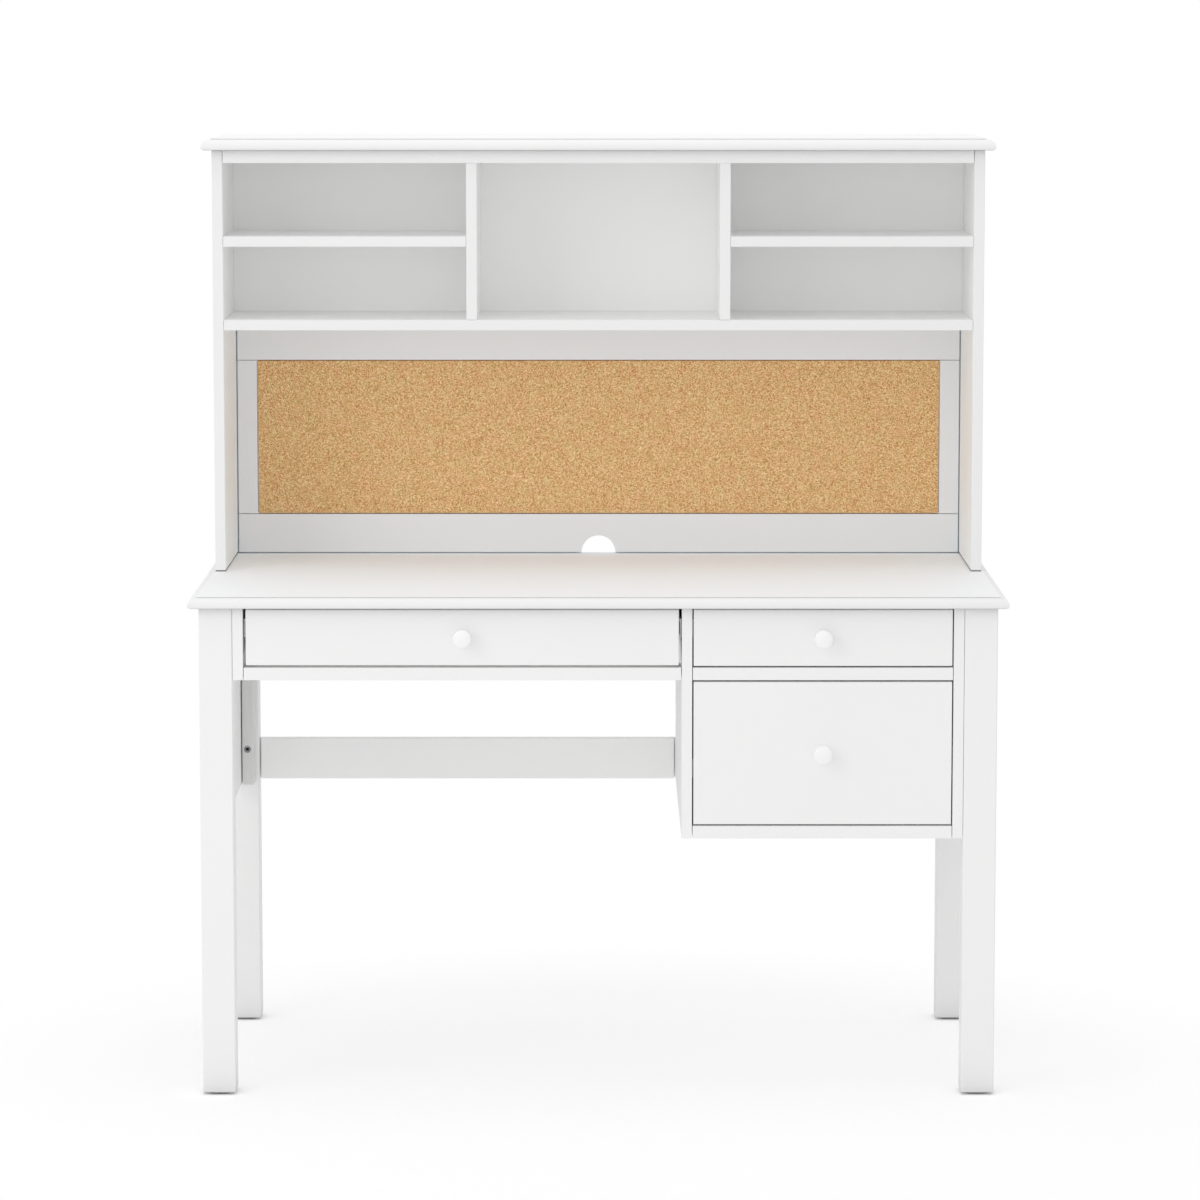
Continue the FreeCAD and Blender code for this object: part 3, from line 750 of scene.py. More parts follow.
@dataclass
class MouldedTop:
    """A board with a moulded edge on its front and both ends, square at its back."""

    node: str
    finish: Finish
    lower_radius: float = 0.004
    drop: float = 0.0013
    shoulder: float = 0.0013
    quirk_depth: float = 0.0025
    quirk_height: float = 0.0006
    step_ease: float = 0.0004
    ease_share: float = 0.3
    steps: int = 10
    overhang: float = 0.0155
    shade_strip: float = 0.0003

    def profile(self, thickness: float) -> list[tuple[float, float]]:
        """The edge from below to the top, as inset and height.

        Args:
            thickness: the board's thickness.

        Returns:
            Its points, from the lower round over the quarter round and the quirk to the step.
        """
        radius, floor = self.lower_radius, thickness - self.drop
        upper = floor - radius
        turns = [math.pi / 2 * step / self.steps for step in range(1, self.steps + 1)]
        lower_round = [(radius * (1 - math.sin(turn)), radius * (1 - math.cos(turn))) for turn in turns]
        quarter = [(upper * (1 - math.cos(turn)), radius + upper * math.sin(turn)) for turn in turns]
        step, ease = upper + self.shoulder, self.step_ease
        return lower_round + quarter + [
            (step + self.quirk_depth, floor),
            (step + self.quirk_depth, floor + self.quirk_height),
            (step, floor + self.quirk_height),
            (step, thickness - ease),
            (step + ease * self.ease_share, thickness - ease * self.ease_share),
            (step + ease, thickness),
        ]

    def build(self) -> None:
        """Raise the board ring by ring, each ring scaled towards the square back edge."""
        low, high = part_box(self.node)
        # Dark grey strips under the overhang paint its shade; the board sits on them.
        self.paint_underside_shade(low, high)
        low = low + UP * self.shade_strip
        size, middle = high - low, (low + high) / 2
        inset, height = self.lower_radius, 0.0
        bench = Bench()
        verts = bmesh.ops.create_grid(bench.bm, x_segments=1, y_segments=1, size=0.5)["verts"]
        bmesh.ops.scale(bench.bm, vec=(size.x - 2 * inset, size.y - inset, 1.0), verts=verts)
        bmesh.ops.translate(bench.bm, vec=(middle.x, middle.y + inset / 2, low.z), verts=verts)
        pivot = Matrix.Translation((-middle.x, -high.y, 0.0))
        bottom = cap = bench.bm.faces[:]
        for next_inset, next_height in self.profile(size.z):
            drawn = bench.draw_out(cap, UP * (next_height - height))
            if cap is not bottom:
                bmesh.ops.delete(bench.bm, geom=cap, context="FACES_ONLY")
            cap = only(BMFace, drawn)
            across = (size.x - 2 * next_inset) / (size.x - 2 * inset)
            along = (size.y - next_inset) / (size.y - inset)
            bmesh.ops.scale(bench.bm, vec=(across, along, 1.0), space=pivot, verts=only(BMVert, drawn))
            inset, height = next_inset, next_height
        # The top face takes the board's own finish and the moulded edges the darker edge paint, which is
        # painted shade.
        bench.coat(UP, self.finish, above=high.z - self.step_ease)
        bench.hand_over(f"{self.node}_moulded", SHADED_EDGE_PAINT, self.node)

    def paint_underside_shade(self, low: Vector, high: Vector) -> None:
        """Dark grey strips under the edge that stands out over the front and both ends, which paint the
        shade under the overhang.

        Args:
            low: the board's lowest corner.
            high: its highest corner.
        """
        edge, inner, top = self.lower_radius, self.overhang, low.z + self.shade_strip
        bench = Bench()
        bench.slab(low + Vector((edge, edge, 0)), Vector((high.x - edge, low.y + inner, top)), 0.0)
        for left, right in ((low.x + edge, low.x + inner), (high.x - inner, high.x - edge)):
            bench.slab(Vector((left, low.y + inner, low.z)), Vector((right, high.y, top)), 0.0)
        bench.hand_over(f"{self.node}_underside", SHADE_GREY, self.node)


@dataclass
class EndFrames:
    """Legs with their glides, recessed end panels, and corner cleats with their bolts."""

    foot_bevel: float = 0.002
    foot_steps: int = 2
    leg_ease: float = 0.0022
    cleat_ease: float = 0.0026
    cleat_width: float = 0.0198
    cleat_depth: float = 0.040
    cleat_groove: float = 0.0012
    bolt_shank: float = 0.003
    bolt_head: float = 0.0055
    bolt_head_height: float = 0.005
    bolt_rim_share: float = 0.8
    bolt_round: float = 0.0006
    bolt_recess: float = 0.001
    bolt_clearance: float = 0.0002
    bolt_steps: int = 36
    socket_corner: float = 0.0025 / math.cos(math.pi / 6)
    socket_depth: float = 0.003
    socket_sides: int = 6
    glide_round: float = 0.0007
    glide_steps: int = 48

    def build(self) -> None:
        """Build both ends of the desk."""
        for end in ("front", "rear"):
            for hand in Hand:
                self.build_leg(f"leg_{end}_{hand.label}")
        for hand in Hand:
            plain_board(f"{hand.label}_end_panel", PAINT)
        self.build_cleats()
        self.build_bolts()
        self.build_glides()

    def build_leg(self, node: str) -> None:
        """A square leg with a bevelled foot.

        Args:
            node: the leg.
        """
        low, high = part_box(node)
        bench = Bench()
        bench.slab(low, high, 0.0)
        foot = [edge for edge in bench.bm.edges if all(vert.co.z < low.z + WELD for vert in edge.verts)]
        bench.bevel(foot, self.foot_bevel, self.foot_steps)
        upright = [edge for edge in bench.bm.edges if edge.calc_length() > (high.z - low.z) / 2]
        bench.bevel(upright, self.leg_ease)
        bench.hand_over(f"{node}_post", PAINT, node)

    def corners(self) -> Iterator[tuple[Hand, Facing, Vector, Vector]]:
        """The four cleats.

        Returns:
            Side, the way that its bolt heads look, and lowest and highest corner of each.
        """
        low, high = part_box("corner_cleats")
        size = Vector((self.cleat_width, self.cleat_depth, high.z - low.z))
        for hand in Hand:
            left = low.x if hand is Hand.LEFT else high.x - size.x
            for facing in Facing:
                front = low.y if facing is Facing.BACK else high.y - size.y
                corner = Vector((left, front, low.z))
                yield hand, facing, corner, corner + size

    def bolt_tops(self, facing: Facing, low: Vector, high: Vector) -> list[Vector]:
        """Where the bolts of one cleat meet its face.

        Args:
            facing: the way that this face looks.
            low: the cleat's lowest corner.
            high: its highest corner.

        Returns:
            The lower and the upper bolt's place.
        """
        bolts_low, bolts_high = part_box("cleat_bolts")
        heights = (bolts_low.z + self.bolt_head, bolts_high.z - self.bolt_head)
        return [Vector(((low.x + high.x) / 2, facing.face(low, high), height)) for height in heights]

    def build_cleats(self) -> None:
        """Corner cleats, each with two counterbores."""
        groove = Vector((self.cleat_groove, 0, 0))
        radius = self.bolt_head + self.bolt_clearance
        depth = self.bolt_head_height + self.bolt_recess
        for hand, facing, low, high in self.corners():
            bench = Bench()
            if hand is Hand.LEFT:
                bench.slab(low + groove, high, self.cleat_ease)
            else:
                bench.slab(low, high - groove, self.cleat_ease)
            way = Vector((0, facing.value, 0))
            bench.sink_holes(way, self.bolt_tops(facing, low, high), radius, depth)
            name = f"{hand.label}_{facing.name.lower()}_facing_cleat"
            # The cleats take the darker cleat paint: painted shade.
            bench.hand_over(name, SHADED_CLEAT_PAINT, "corner_cleats")

    def build_bolts(self) -> None:
        """Socket bolts that hold the cleats to the legs."""
        bench = Bench()
        bolts_low, bolts_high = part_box("cleat_bolts")
        for _, facing, low, high in self.corners():
            axis = Vector((0, -facing.value, 0))
            tip = bolts_low.y if facing is Facing.BACK else bolts_high.y
            for mouth in self.bolt_tops(facing, low, high):
                top = mouth + axis * self.bolt_recess
                self.add_bolt(bench, top, axis, abs(tip - top.y))
        bench.hand_over("cleat_socket_bolts", DARK_STEEL, "cleat_bolts")

    def add_bolt(self, bench: Bench, top: Vector, axis: Vector, length: float) -> None:
        """One bolt with a six-sided socket.

        Args:
            bench: the piece.
            top: the middle of the head's outer face.
            axis: the way from there to the tip.
            length: the bolt's whole length.
        """
        known = set(bench.bm.edges)
        bench.turning(top, axis, [
            (0.0, self.bolt_head * self.bolt_rim_share, 0.0),
            (0.0, self.bolt_head, self.bolt_round),
            (self.bolt_head_height, self.bolt_head, 0.0),
            (self.bolt_head_height, self.bolt_shank, 0.0),
            (length, self.bolt_shank, self.bolt_round),
            (length, 0.0, 0.0),
        ], self.bolt_steps)
        mouth = [edge for edge in set(bench.bm.edges) - known if edge.is_boundary]
        socket = bench.ring(top, axis, self.socket_corner, self.socket_sides)
        bmesh.ops.bridge_loops(bench.bm, edges=mouth + socket)
        bench.sink(socket, axis * self.socket_depth)

    def build_glides(self) -> None:
        """Nylon glides under the legs."""
        low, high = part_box("leg_glides")
        height = high.z - low.z
        leg_low, leg_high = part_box("leg_front_left")
        radius = (leg_low.x + leg_high.x) / 2 - low.x
        bench = Bench()
        for x in (low.x + radius, high.x - radius):
            for y in (low.y + radius, high.y - radius):
                bench.turning(Vector((x, y, high.z)), -UP, [
                    (0.0, 0.0, 0.0),
                    (0.0, radius, 0.0),
                    (height, radius, self.glide_round),
                    (height, 0.0, 0.0),
                ], self.glide_steps)
        # The glides' dark grey also paints the shade line under the feet.
        bench.hand_over("leg_nylon_glides", NYLON_AND_SHADE, "leg_glides")


@dataclass
class DrawerCase:
    """Boards around the drawers and the stretcher behind the knees."""

    painted: tuple[str, ...] = (
        "left_case_side",
        "pedestal_left_side",
        "pedestal_right_side",
        "wide_drawer_rail",
        "pedestal_mid_rail",
        "pedestal_bottom",
    )
    backs: tuple[str, ...] = ("case_back", "pedestal_back")
    ease: float = 0.0006
    joint: float = 0.0005
    stretcher_groove: float = 0.0024
    stretcher_tongue: float = 0.003

    def build(self) -> None:
        """Build the case."""
        for node in self.painted:
            plain_board(node, PAINT, self.ease, Vector.Fill(3, self.joint))
        self.build_stretcher()
        for node in self.backs:
            plain_board(node, WHITE_BOARD, THIN_EASE)

    def build_stretcher(self) -> None:
        """The stretcher, with a tongue at its back that closes the groove at each end."""
        low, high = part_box("rear_stretcher")
        groove = Vector((self.stretcher_groove, 0, 0))
        lip = Vector((0, self.joint, self.joint))
        bench = Bench()
        bench.slab(low + groove, high - groove)
        bench.slab(Vector((low.x, high.y - self.stretcher_tongue, low.z)) + lip, high - lip, 0.0)
        # The stretcher takes the lighter paint: painted light.
        bench.hand_over("rear_stretcher_board", LIGHTENED_PAINT, "rear_stretcher")


@dataclass
class TelescopicSlides:
    """The two three-part slides of one drawer, rolled from steel strip."""

    drawer: Body
    wall: float = 0.001
    gap: float = 0.0004
    space: float = 0.0127
    bend: float = 0.00045
    screw_head: float = 0.0036
    screw_rise: float = 0.0014
    screw_round: float = 0.0005
    screw_crown_share: float = 0.8
    screw_recess_share: float = 0.35
    screw_floor_share: float = 0.3
    screw_steps: int = 28
    screw_shares: tuple[float, ...] = (0.08, 0.5, 0.9)

    def limits(self) -> tuple[Vector, Vector]:
        """Box of the space that both slides take, from the case on the left to that on the right."""
        low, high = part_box(f"{self.drawer.value}_mid_slides")
        reach = Vector((self.wall + self.gap, 0, self.wall + self.gap))
        return low - reach, high + reach

    def add_pair(self, bench: Bench, web: float, lip: float, half: float) -> None:
        """Add one member of both slides, a strip bent to a channel.

        Args:
            bench: the piece.
            web: distance from the case to the outside of its web.
            lip: distance from the case to its lips.
            half: half of its height.
        """
        low, high = self.limits()
        floor = web + math.copysign(self.wall, lip - web)
        inner = half - self.wall
        section = [
            (web, -half),
            (lip, -half),
            (lip, -inner),
            (floor, -inner),
            (floor, inner),
            (lip, inner),
            (lip, half),
            (web, half),
        ]
        bench.pair(section, (low, high), (low.z + high.z) / 2, corner=self.bend)

    def add_screws(self, bench: Bench) -> None:
        """Add the screw heads that hold the runners to the drawer's sides.

        Args:
            bench: the piece.
        """
        low, high = self.limits()
        middle = (low.z + high.z) / 2
        for hand in Hand:
            seat = hand.outer(low, high) - hand.value * (self.space - self.wall)
            for share in self.screw_shares:
                place = Vector((seat, low.y + (high.y - low.y) * share, middle))
                bench.turning(place, -hand.inward, [
                    (0.0, self.screw_head, 0.0),
                    (self.screw_rise, self.screw_head * self.screw_crown_share, self.screw_round),
                    (self.screw_rise, self.screw_head * self.screw_recess_share, 0.0),
                    (self.screw_rise * self.screw_floor_share, 0.0, 0.0),
                ], self.screw_steps)

    def build(self, channels: Bench) -> None:
        """Build the middle members and the runners, and add the fixed channels to their piece.

        Args:
            channels: the piece that gathers the fixed channels.
        """
        low, high = self.limits()
        half = (high.z - low.z) / 2
        step = self.wall + self.gap
        name = self.drawer.value
        self.add_pair(channels, 0.0, self.space - step, half)
        middle = Bench()
        self.add_pair(middle, step, self.space - step, half - step)
        middle.hand_over(f"{name}_mid_slide_pair", STEEL, f"{name}_mid_slides", body=self.drawer.slides)
        runners = Bench()
        self.add_pair(runners, self.space, 2 * step, half - 2 * step)
        self.add_screws(runners)
        runners.hand_over(f"{name}_runner_pair", STEEL, f"{name}_runners", body=name)


@dataclass
class Drawer:
    """A drawer: front, knob and box."""

    body: Body
    side_thickness: float = 0.012
    groove_depth: float = 0.005
    groove_clearance: float = 0.0002
    front_ease: float = 0.0012
    box_ease: float = 0.0008
    bottom_ease: float = 0.0004
    knob_head: float = 0.01375
    knob_base: float = 0.0075
    knob_neck: float = 0.0055
    knob_face: float = 0.006
    base_share: float = 0.10
    neck_share: float = 0.20
    head_share: float = 0.44
    brow_share: float = 0.90
    base_round: float = 0.0009
    neck_round: float = 0.0012
    head_round: float = 0.002
    face_round: float = 0.005
    knob_steps: int = 96
    slides: TelescopicSlides = field(init=False)

    def __post_init__(self) -> None:
        """Give the drawer its slides."""
        self.slides = TelescopicSlides(self.body)

    def build(self, channels: Bench) -> None:
        """Build the drawer.

        Args:
            channels: the piece that gathers the fixed slide channels.
        """
        name = self.body.value
        plain_board(f"{name}_front", PAINT, self.front_ease, Vector(), body=name)
        plain_board(f"{name}_back", LAMINATE, self.box_ease, body=name)
        plain_board(f"{name}_bottom", WHITE_BOARD, self.bottom_ease, body=name)
        self.build_sides()
        self.build_knob()
        self.slides.build(channels)

    def build_sides(self) -> None:
        """Both sides, each with a groove for the bottom."""
        name = self.body.value
        low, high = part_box(f"{name}_sides")
        bottom_low, bottom_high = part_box(f"{name}_bottom")
        groove_high = bottom_high.z + self.groove_clearance
        inner = self.side_thickness - self.groove_depth
        section = [
            (0.0, low.z),
            (self.side_thickness, low.z),
            (self.side_thickness, bottom_low.z),
            (inner, bottom_low.z),
            (inner, groove_high),
            (self.side_thickness, groove_high),
            (self.side_thickness, high.z),
            (0.0, high.z),
        ]
        bench = Bench()
        bench.pair(section, (low, high), 0.0, ease=self.box_ease)
        bench.hand_over(f"{name}_grooved_sides", LAMINATE, f"{name}_sides", body=name)

    def build_knob(self) -> None:
        """A turned knob with a flat-domed head on a short neck."""
        name = self.body.value
        low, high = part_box(f"{name}_knob")
        seat = Vector(((low.x + high.x) / 2, high.y, (low.z + high.z) / 2))
        reach = high.y - low.y
        bench = Bench()
        bench.turning(seat, FORWARD, [
            (0.0, 0.0, 0.0),
            (0.0, self.knob_base, 0.0),
            (reach * self.base_share, self.knob_base, self.base_round),
            (reach * self.neck_share, self.knob_neck, self.neck_round),
            (reach * self.head_share, self.knob_head, self.head_round),
            (reach * self.brow_share, self.knob_head, self.head_round),
            (reach, self.knob_face, self.face_round),
            (reach, 0.0, 0.0),
        ], self.knob_steps)
        # The knob takes the lighter knob paint: painted light.
        bench.hand_over(f"{name}_turned_knob", LIT_KNOB_PAINT, f"{name}_knob", body=name)


@dataclass
class Hutch:
    """The open shelf unit that stands on the desktop."""

    rail_seat: float = 0.0165
    rail_joint: float = 0.0006
    foot_height: float = 0.0016
    foot_inset: float = 0.0005
    divider_ease: float = 0.001
    boards: tuple[str, ...] = ("main_shelf", "left_mid_shelf", "right_mid_shelf")

    def build(self) -> None:
        """Build the shelf unit without its crown and pinboard."""
        for hand in Hand:
            self.build_side(hand)
        for node in self.boards:
            # The shelves' front edges take the darker edge paint: painted shade.
            plain_board(node, PAINT, front=SHADED_EDGE_PAINT)
        plain_board("hutch_face_rail", PAINT, hairline=Vector((self.rail_joint, 0, 0)))
        plain_board("upper_back_panel", PAINT, THIN_EASE)
        for hand in Hand:
            self.build_divider(f"{hand.label}_divider")

    def build_side(self, hand: Hand) -> None:
        """A side on a dark grey foot strip that paints the shade under it, with its inner face painted
        cooler around the pinboard and lighter in the cubbies, which is painted light.

        Args:
            hand: which side it is.
        """
        node = f"hutch_{hand.label}_side"
        low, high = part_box(node)
        foot = UP * self.foot_height
        inset = Vector((self.foot_inset, self.foot_inset, 0))
        hairline = Vector.Fill(3, HAIRLINE)
        bay_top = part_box("main_shelf")[0].z
        bench = Bench()
        bench.slab(low + hairline + foot, high - hairline)
        bench.cut(bay_top)
        # The side's front edge takes the darker edge paint: painted shade.
        bench.coat(FORWARD, SHADED_EDGE_PAINT)
        # Below the main shelf the inner face is painted cooler against the cork's warm light: painted light.
        bench.coat(hand.inward, COOLED_BAY_PAINT, below=bay_top)
        # Above the main shelf the inner face takes the lighter paint: painted light in the cubbies.
        bench.coat(hand.inward, LIGHTENED_PAINT, above=bay_top)
        bench.hand_over(f"{node}_board", PAINT, node)
        # A dark grey strip under the side paints the shade line where it stands on the desktop.
        sole = Bench()
        sole.slab(low + inset, Vector((high.x, high.y, low.z)) - inset + foot, 0.0)
        sole.hand_over(f"{node}_primed_foot", SHADE_GREY, node)

    def build_divider(self, node: str) -> None:
        """An upright, cut away at its front corner for the face rail.

        Args:
            node: the divider.
        """
        low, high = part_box(node)
        rail_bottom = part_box("hutch_face_rail")[0].z
        seat = low.y + self.rail_seat
        outline = [
            (low.y, low.z),
            (high.y, low.z),
            (high.y, high.z),
            (seat, high.z),
            (seat, rail_bottom),
            (low.y, rail_bottom),
        ]
        bench = Bench()
        points = [Vector((low.x, back, up)) for back, up in outline]
        bench.prism(points, Vector((high.x - low.x, 0, 0)), ease=self.divider_ease)
        # The divider's front edge takes the darker edge paint: painted shade.
        bench.coat(FORWARD, SHADED_EDGE_PAINT)
        bench.hand_over(f"{node}_board", PAINT, node)


@dataclass
class Pinboard:
    """The framed cork board in the back of the hutch."""

    notch_radius: float = 0.027
    notch_steps: int = 40
    rail_ease: float = 0.0008
    rail_corner: float = math.radians(60)
    cork_ease: float = 0.0008
    stile_width: float = 0.033
    joint: float = 0.0004
    side_gap: float = 0.0018
    foot_gap: float = 0.0019
    tongue: float = 0.006

    def build(self) -> None:
        """Build rails, stiles, cork and backing."""
        self.build_top_rail()
        self.build_notched_rail()
        self.build_stiles()
        plain_board("cork_sheet", CORK, self.cork_ease, Vector.Fill(3, self.joint))
        plain_board("cork_backing", BROWN_BOARD, THIN_EASE)

    def add_tongue(self, bench: Bench, low: Vector, high: Vector) -> None:
        """Add a tongue at the back of a frame piece, which closes a groove.

        Args:
            bench: the piece.
            low: lowest corner of the groove's stretch of the piece.
            high: its highest corner.
        """
        behind, back = high.y - self.tongue, high.y - self.joint
        bench.slab(Vector((low.x, behind, low.z)), Vector((high.x, back, high.z)), 0.0)

    def close_ends(self, bench: Bench, low: Vector, high: Vector) -> None:
        """Add the tongues that close the grooves beside the hutch's sides.

        Args:
            bench: the piece.
            low: lowest corner of the node.
            high: its highest corner.
        """
        lap = self.side_gap * 2
        self.add_tongue(bench, low, Vector((low.x + lap, high.y, high.z)))
        self.add_tongue(bench, Vector((high.x - lap, low.y, low.z)), high)

    def build_top_rail(self) -> None:
        """The upper rail, with a groove at each end."""
        low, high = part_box("pinboard_top_rail")
        inset = Vector((self.side_gap, 0, self.joint))
        bench = Bench()
        bench.slab(low + inset, high - inset)
        self.close_ends(bench, low, high)
        # The rail takes the darker frame paint: painted shade.
        bench.hand_over("pinboard_top_rail_board", SHADED_FRAME_PAINT, "pinboard_top_rail")

    def build_notched_rail(self) -> None:
        """The lower rail, with a half-round cable notch at the desktop."""
        outer_low, outer_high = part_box("pinboard_bottom_rail")
        low = outer_low + Vector((self.side_gap, 0, self.foot_gap))
        high = outer_high - Vector((self.side_gap, 0, self.joint))
        middle = (low.x + high.x) / 2
        left, right = middle - self.notch_radius, middle + self.notch_radius
        bench = Bench()
        start = bench.bm.verts.new((left, low.y, low.z))
        bmesh.ops.spin(
            bench.bm,
            geom=[start],
            cent=(middle, low.y, low.z),
            axis=-FORWARD,
            angle=math.pi,
            steps=self.notch_steps,
        )
        end = max(bench.bm.verts, key=lambda vert: vert.co.x)
        corners = ((high.x, low.z), (high.x, high.z), (low.x, high.z), (low.x, low.z))
        verts = bench.wire([Vector((across, low.y, up)) for across, up in corners], closed=False)
        bench.bm.edges.new((end, verts[0]))
        bench.bm.edges.new((verts[-1], start))
        face = bmesh.ops.contextual_create(bench.bm, geom=bench.bm.edges[:])["faces"]
        bench.draw_out(face, Vector((0, high.y - low.y, 0)))
        sharp = [edge for edge in bench.bm.edges if edge.calc_face_angle(0.0) > self.rail_corner]
        bench.bevel(sharp, self.rail_ease, 2)
        self.close_ends(bench, outer_low, outer_high)
        lap = low.z + self.joint
        for first, last in ((low.x, left), (right, high.x)):
            foot = Vector((first, low.y, outer_low.z))
            self.add_tongue(bench, foot, Vector((last, high.y, lap)))
        # The rail takes the darker frame paint: painted shade.
        bench.hand_over("pinboard_notched_rail", SHADED_FRAME_PAINT, "pinboard_bottom_rail")

    def build_stiles(self) -> None:
        """Both uprights of the frame."""
        low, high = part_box("pinboard_stiles")
        inner = Vector((self.stile_width - self.joint, 0, 0))
        outer = Vector((self.side_gap, 0, 0))
        joint = UP * self.joint
        bench = Bench()
        bench.slab(low + outer + joint, Vector((low.x, high.y, high.z)) + inner - joint)
        bench.slab(Vector((high.x, low.y, low.z)) - inner + joint, high - outer - joint)
        self.close_ends(bench, low, high)
        # The stiles take the darker frame paint: painted shade.
        bench.hand_over("pinboard_stile_pair", SHADED_FRAME_PAINT, "pinboard_stiles")


@dataclass(frozen=True)
class Softbox:
    """A square lamp that looks at the desk."""

    name: str
    place: Colour
    aim: Colour
    side: float
    power: float

    def hang(self) -> None:
        """Put the lamp in the scene."""
        lamp = bpy.data.lights.new(self.name, "AREA")
        lamp.shape = "SQUARE"
        lamp.size = self.side
        lamp.energy = self.power
        held = bpy.data.objects.new(self.name, lamp)
        held.location = self.place
        way = Vector(self.aim) - Vector(self.place)
        held.rotation_euler = way.to_track_quat("-Z", "Y").to_euler()
        bpy.context.scene.collection.objects.link(held)


@dataclass
class Studio:
    """Pale floor, soft lamps, white surroundings and the camera."""

    sky: float = 0.785
    bounces: int = 12
    floor_side: float = 90.0
    floor_drop: float = 0.0002
    floor_colour: float = 0.39
    floor_white: float = 0.93
    floor_glow: float = 0.622
    floor_centre: Colour = (0.0, -0.3, 0.0)
    floor_near: float = 0.8
    floor_far: float = 1.2
    patch_inner: float = 0.024
    patch_outer: float = 0.075
    patch_glow: float = 0.16
    patch_colour: float = 0.96
    patch_shade_bounce: float = 0.35
    camera_place: Colour = (0.0025, -7.3764, 1.6211)
    camera_tilt: float = math.radians(82.9993)
    camera_lens: float = 144.334
    camera_sensor: float = 36.0
    camera_reach: float = 100.0
    lamps: tuple[Softbox, ...] = (
        Softbox("front_softbox", (0.0, -6.0, 0.9), (0.0, 0.0, 0.7), 3.0, 16.0),
        Softbox("left_front_softbox", (-3.4, -4.0, 0.9), (0.0, 0.0, 0.7), 2.6, 12.0),
        Softbox("left_high_softbox", (-3.2, -3.2, 3.2), (0.0, 0.0, 0.7), 2.4, 24.0),
        Softbox("top_softbox", (0.0, -0.2, 4.4), (0.0, 0.0, 0.0), 2.6, 24.0),
    )

    def build(self) -> None:
        """Set up the studio."""
        for lamp in self.lamps:
            lamp.hang()
        self.lay_floor()
        self.light_sky()
        self.set_camera()
        bpy.context.scene.cycles.diffuse_bounces = self.bounces
        bpy.context.scene.view_settings.view_transform = "Standard"

    @staticmethod
    def seen(tree: ShaderTree) -> Socket:
        """One where a ray comes from the camera, a gloss or a glass, and zero elsewhere."""
        camera = tree.node("ShaderNodeLightPath", output="Is Camera Ray")
        gloss = tree.node("ShaderNodeLightPath", output="Is Glossy Ray")
        glass = tree.node("ShaderNodeLightPath", output="Is Transmission Ray")
        return camera.sum("MAXIMUM", camera, gloss.sum("MAXIMUM", gloss, glass))

    def lay_floor(self) -> None:
        """A floor that looks white and keeps the desk's shadow."""
        bm = bmesh.new()
        bmesh.ops.create_grid(bm, x_segments=1, y_segments=1, size=self.floor_side / 2)
        bmesh.ops.translate(bm, vec=-UP * self.floor_drop, verts=bm.verts[:])
        mesh = bpy.data.meshes.new("studio_floor")
        bm.to_mesh(mesh)
        bm.free()
        floor = bpy.data.objects.new("studio_floor", mesh)
        bpy.context.scene.collection.objects.link(floor)
        material = bpy.data.materials.new("studio_floor_white")
        self.paint_floor(ShaderTree(material))
        mesh.materials.append(material)

    def paint_floor(self, tree: ShaderTree) -> None:
        """Fill the floor's tree: shadowed near the desk, plain white far off, and matt for the light, with a
        dark grey under the feet that paints shade on their lower ends.

        Args:
            tree: the tree.
        """
        shade_patches = self.foot_shade_patches(tree)
        open_floor = self.lit_white(tree, self.floor_colour, self.floor_glow)
        touched = self.lit_white(tree, self.patch_colour, self.patch_glow)
        near = tree.node("ShaderNodeMixShader", None, {0: shade_patches, 1: open_floor, 2: touched})
        far = tree.node("ShaderNodeEmission", None, {"Color": WHITE, "Strength": 1.0})
        reach = tree.place().vector("DISTANCE", self.floor_centre, output="Value")
        away = tree.levels(reach, self.floor_near, self.floor_far)
        looks = tree.node("ShaderNodeMixShader", None, {0: away, 1: near, 2: far})
        # Under the feet the floor gives back far less light, a dark grey that paints shade on the feet's
        # lower ends.
        bounce = tree.blend(shade_patches, (self.floor_white,) * 3, (self.patch_shade_bounce,) * 3)
        plain = tree.node("ShaderNodeBsdfDiffuse", None, {"Color": bounce})
        mixed = tree.node("ShaderNodeMixShader", None, {0: self.seen(tree), 1: plain, 2: looks})
        tree.node("ShaderNodeOutputMaterial", None, {"Surface": mixed})

    @staticmethod
    def lit_white(tree: ShaderTree, grey: float, strength: float) -> Socket:
        """A matt grey that takes the shadows, lifted towards white by a glow.

        Args:
            tree: the floor's tree.
            grey: how much of the light it gives back.
            strength: the glow.

        Returns:
            The shader.
        """
        matt = tree.node("ShaderNodeBsdfDiffuse", None, {"Color": (grey, grey, grey, 1.0)})
        glow = tree.node("ShaderNodeEmission", None, {"Color": WHITE, "Strength": strength})
        return tree.node("ShaderNodeAddShader", None, {0: matt, 1: glow})

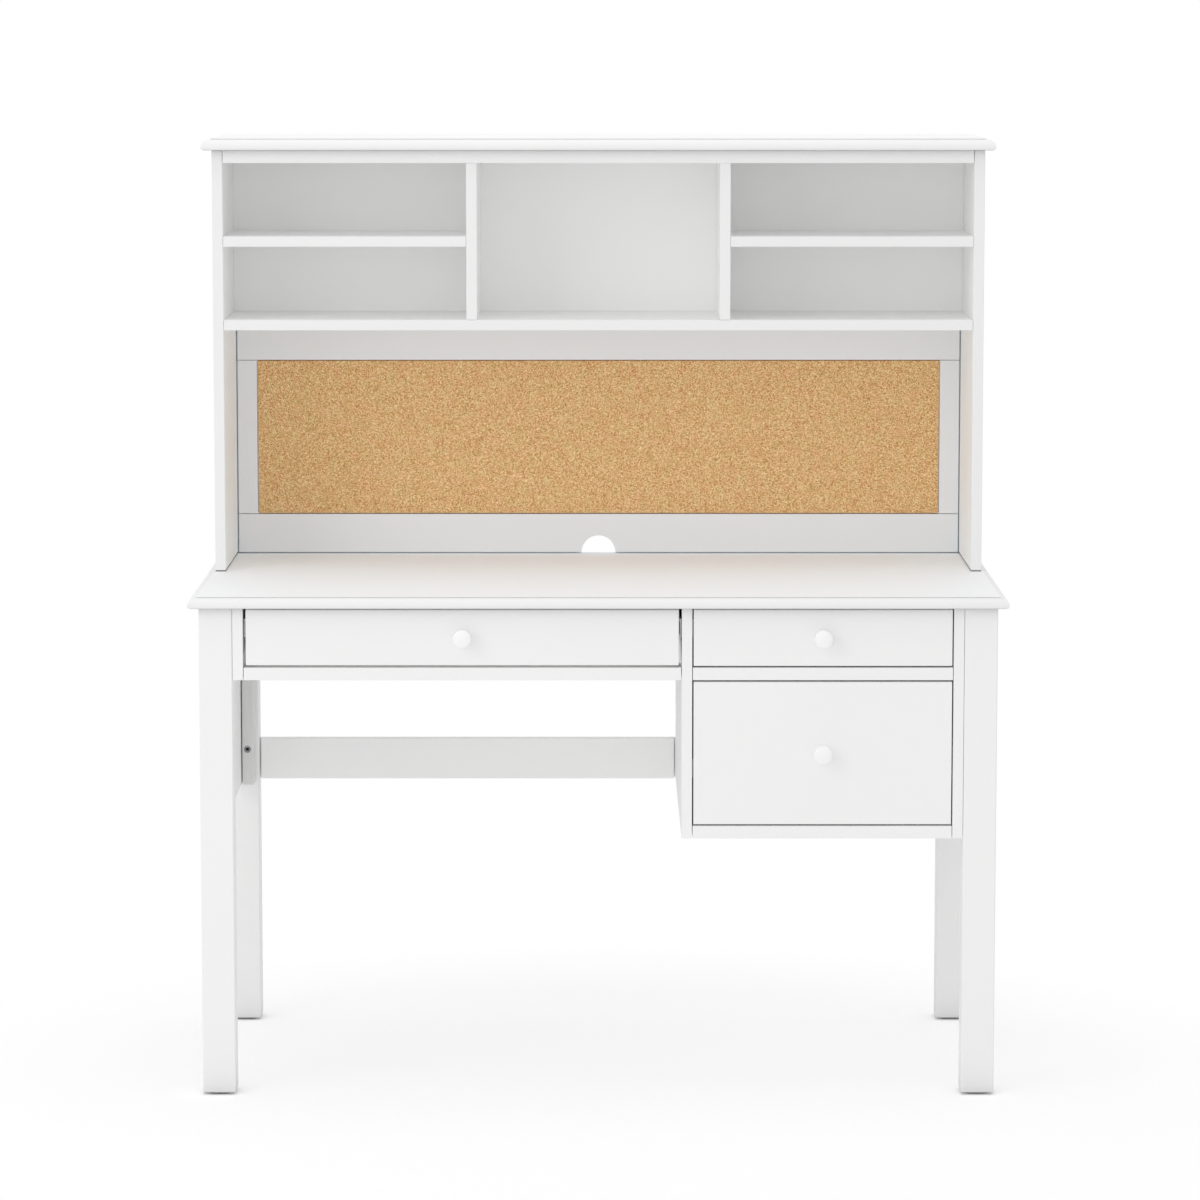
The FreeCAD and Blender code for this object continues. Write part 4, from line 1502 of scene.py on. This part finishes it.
    def foot_shade_patches(self, tree: ShaderTree) -> Socket:
        """Where the feet touch the floor and their contact shadows lie.

        Args:
            tree: the floor's tree.

        Returns:
            One under each foot, falling to zero a little way off.
        """
        front = sum(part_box("leg_front_left"), Vector()) / 2
        rear = sum(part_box("leg_rear_right"), Vector()) / 2
        middle, reach = (front + rear) / 2, (rear - front) / 2
        folded = tree.place().vector("SUBTRACT", (middle.x, middle.y, 0.0)).vector("ABSOLUTE")
        offset = folded.vector("SUBTRACT", (reach.x, reach.y, 0.0))
        away = offset.vector("LENGTH", output="Value")
        return tree.levels(away, self.patch_outer, self.patch_inner)

    def light_sky(self) -> None:
        """White surroundings: full white where they are seen, softer where they light."""
        world = bpy.data.worlds.new("studio_white")
        bpy.context.scene.world = world
        tree = ShaderTree(world)
        strength = self.sky + self.seen(tree) * (1.0 - self.sky)
        sky = tree.node("ShaderNodeBackground", None, {"Color": WHITE, "Strength": strength})
        tree.node("ShaderNodeOutputWorld", None, {"Surface": sky})

    def set_camera(self) -> None:
        """The camera, straight in front and a little above."""
        lens = bpy.data.cameras.new("studio_camera")
        lens.sensor_width = self.camera_sensor
        lens.lens = self.camera_lens
        lens.clip_end = self.camera_reach
        camera = bpy.data.objects.new("studio_camera", lens)
        camera.location = self.camera_place
        camera.rotation_euler = (self.camera_tilt, 0.0, 0.0)
        bpy.context.scene.collection.objects.link(camera)
        bpy.context.scene.camera = camera


def dress_kept_nodes(kept: dict[str, Finish]) -> None:
    """Give the frame's own nodes that stay in sight their finish.

    Args:
        kept: the finish of each node.
    """
    for node, finish in kept.items():
        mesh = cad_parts[node].data
        mesh.materials.clear()
        mesh.materials.append(finish.material())
        LOG.info("%s keeps its own solid", node)


def main() -> None:
    """Build the desk and its studio."""
    logging.basicConfig(level=logging.INFO, format="%(name)s: %(message)s")
    # The desktop's top face is painted cooler against the cork's warm light: painted light.
    MouldedTop("desktop", COOLED_TOP_PAINT).build()
    MouldedTop("hutch_crown", PAINT).build()
    EndFrames().build()
    DrawerCase().build()
    channels = Bench()
    for body in (Body.WIDE_DRAWER, Body.SMALL_DRAWER, Body.DEEP_DRAWER):
        Drawer(body).build(channels)
    channels.hand_over("case_slide_channels", STEEL, "slide_channels")
    Hutch().build()
    Pinboard().build()
    dress_kept_nodes({
        "hutch_dowels": BEECH,
        "wide_drawer_knob_screw": STEEL,
        "small_drawer_knob_screw": STEEL,
        "deep_drawer_knob_screw": STEEL,
    })
    Studio().build()


if __name__ == "__main__":
    main()
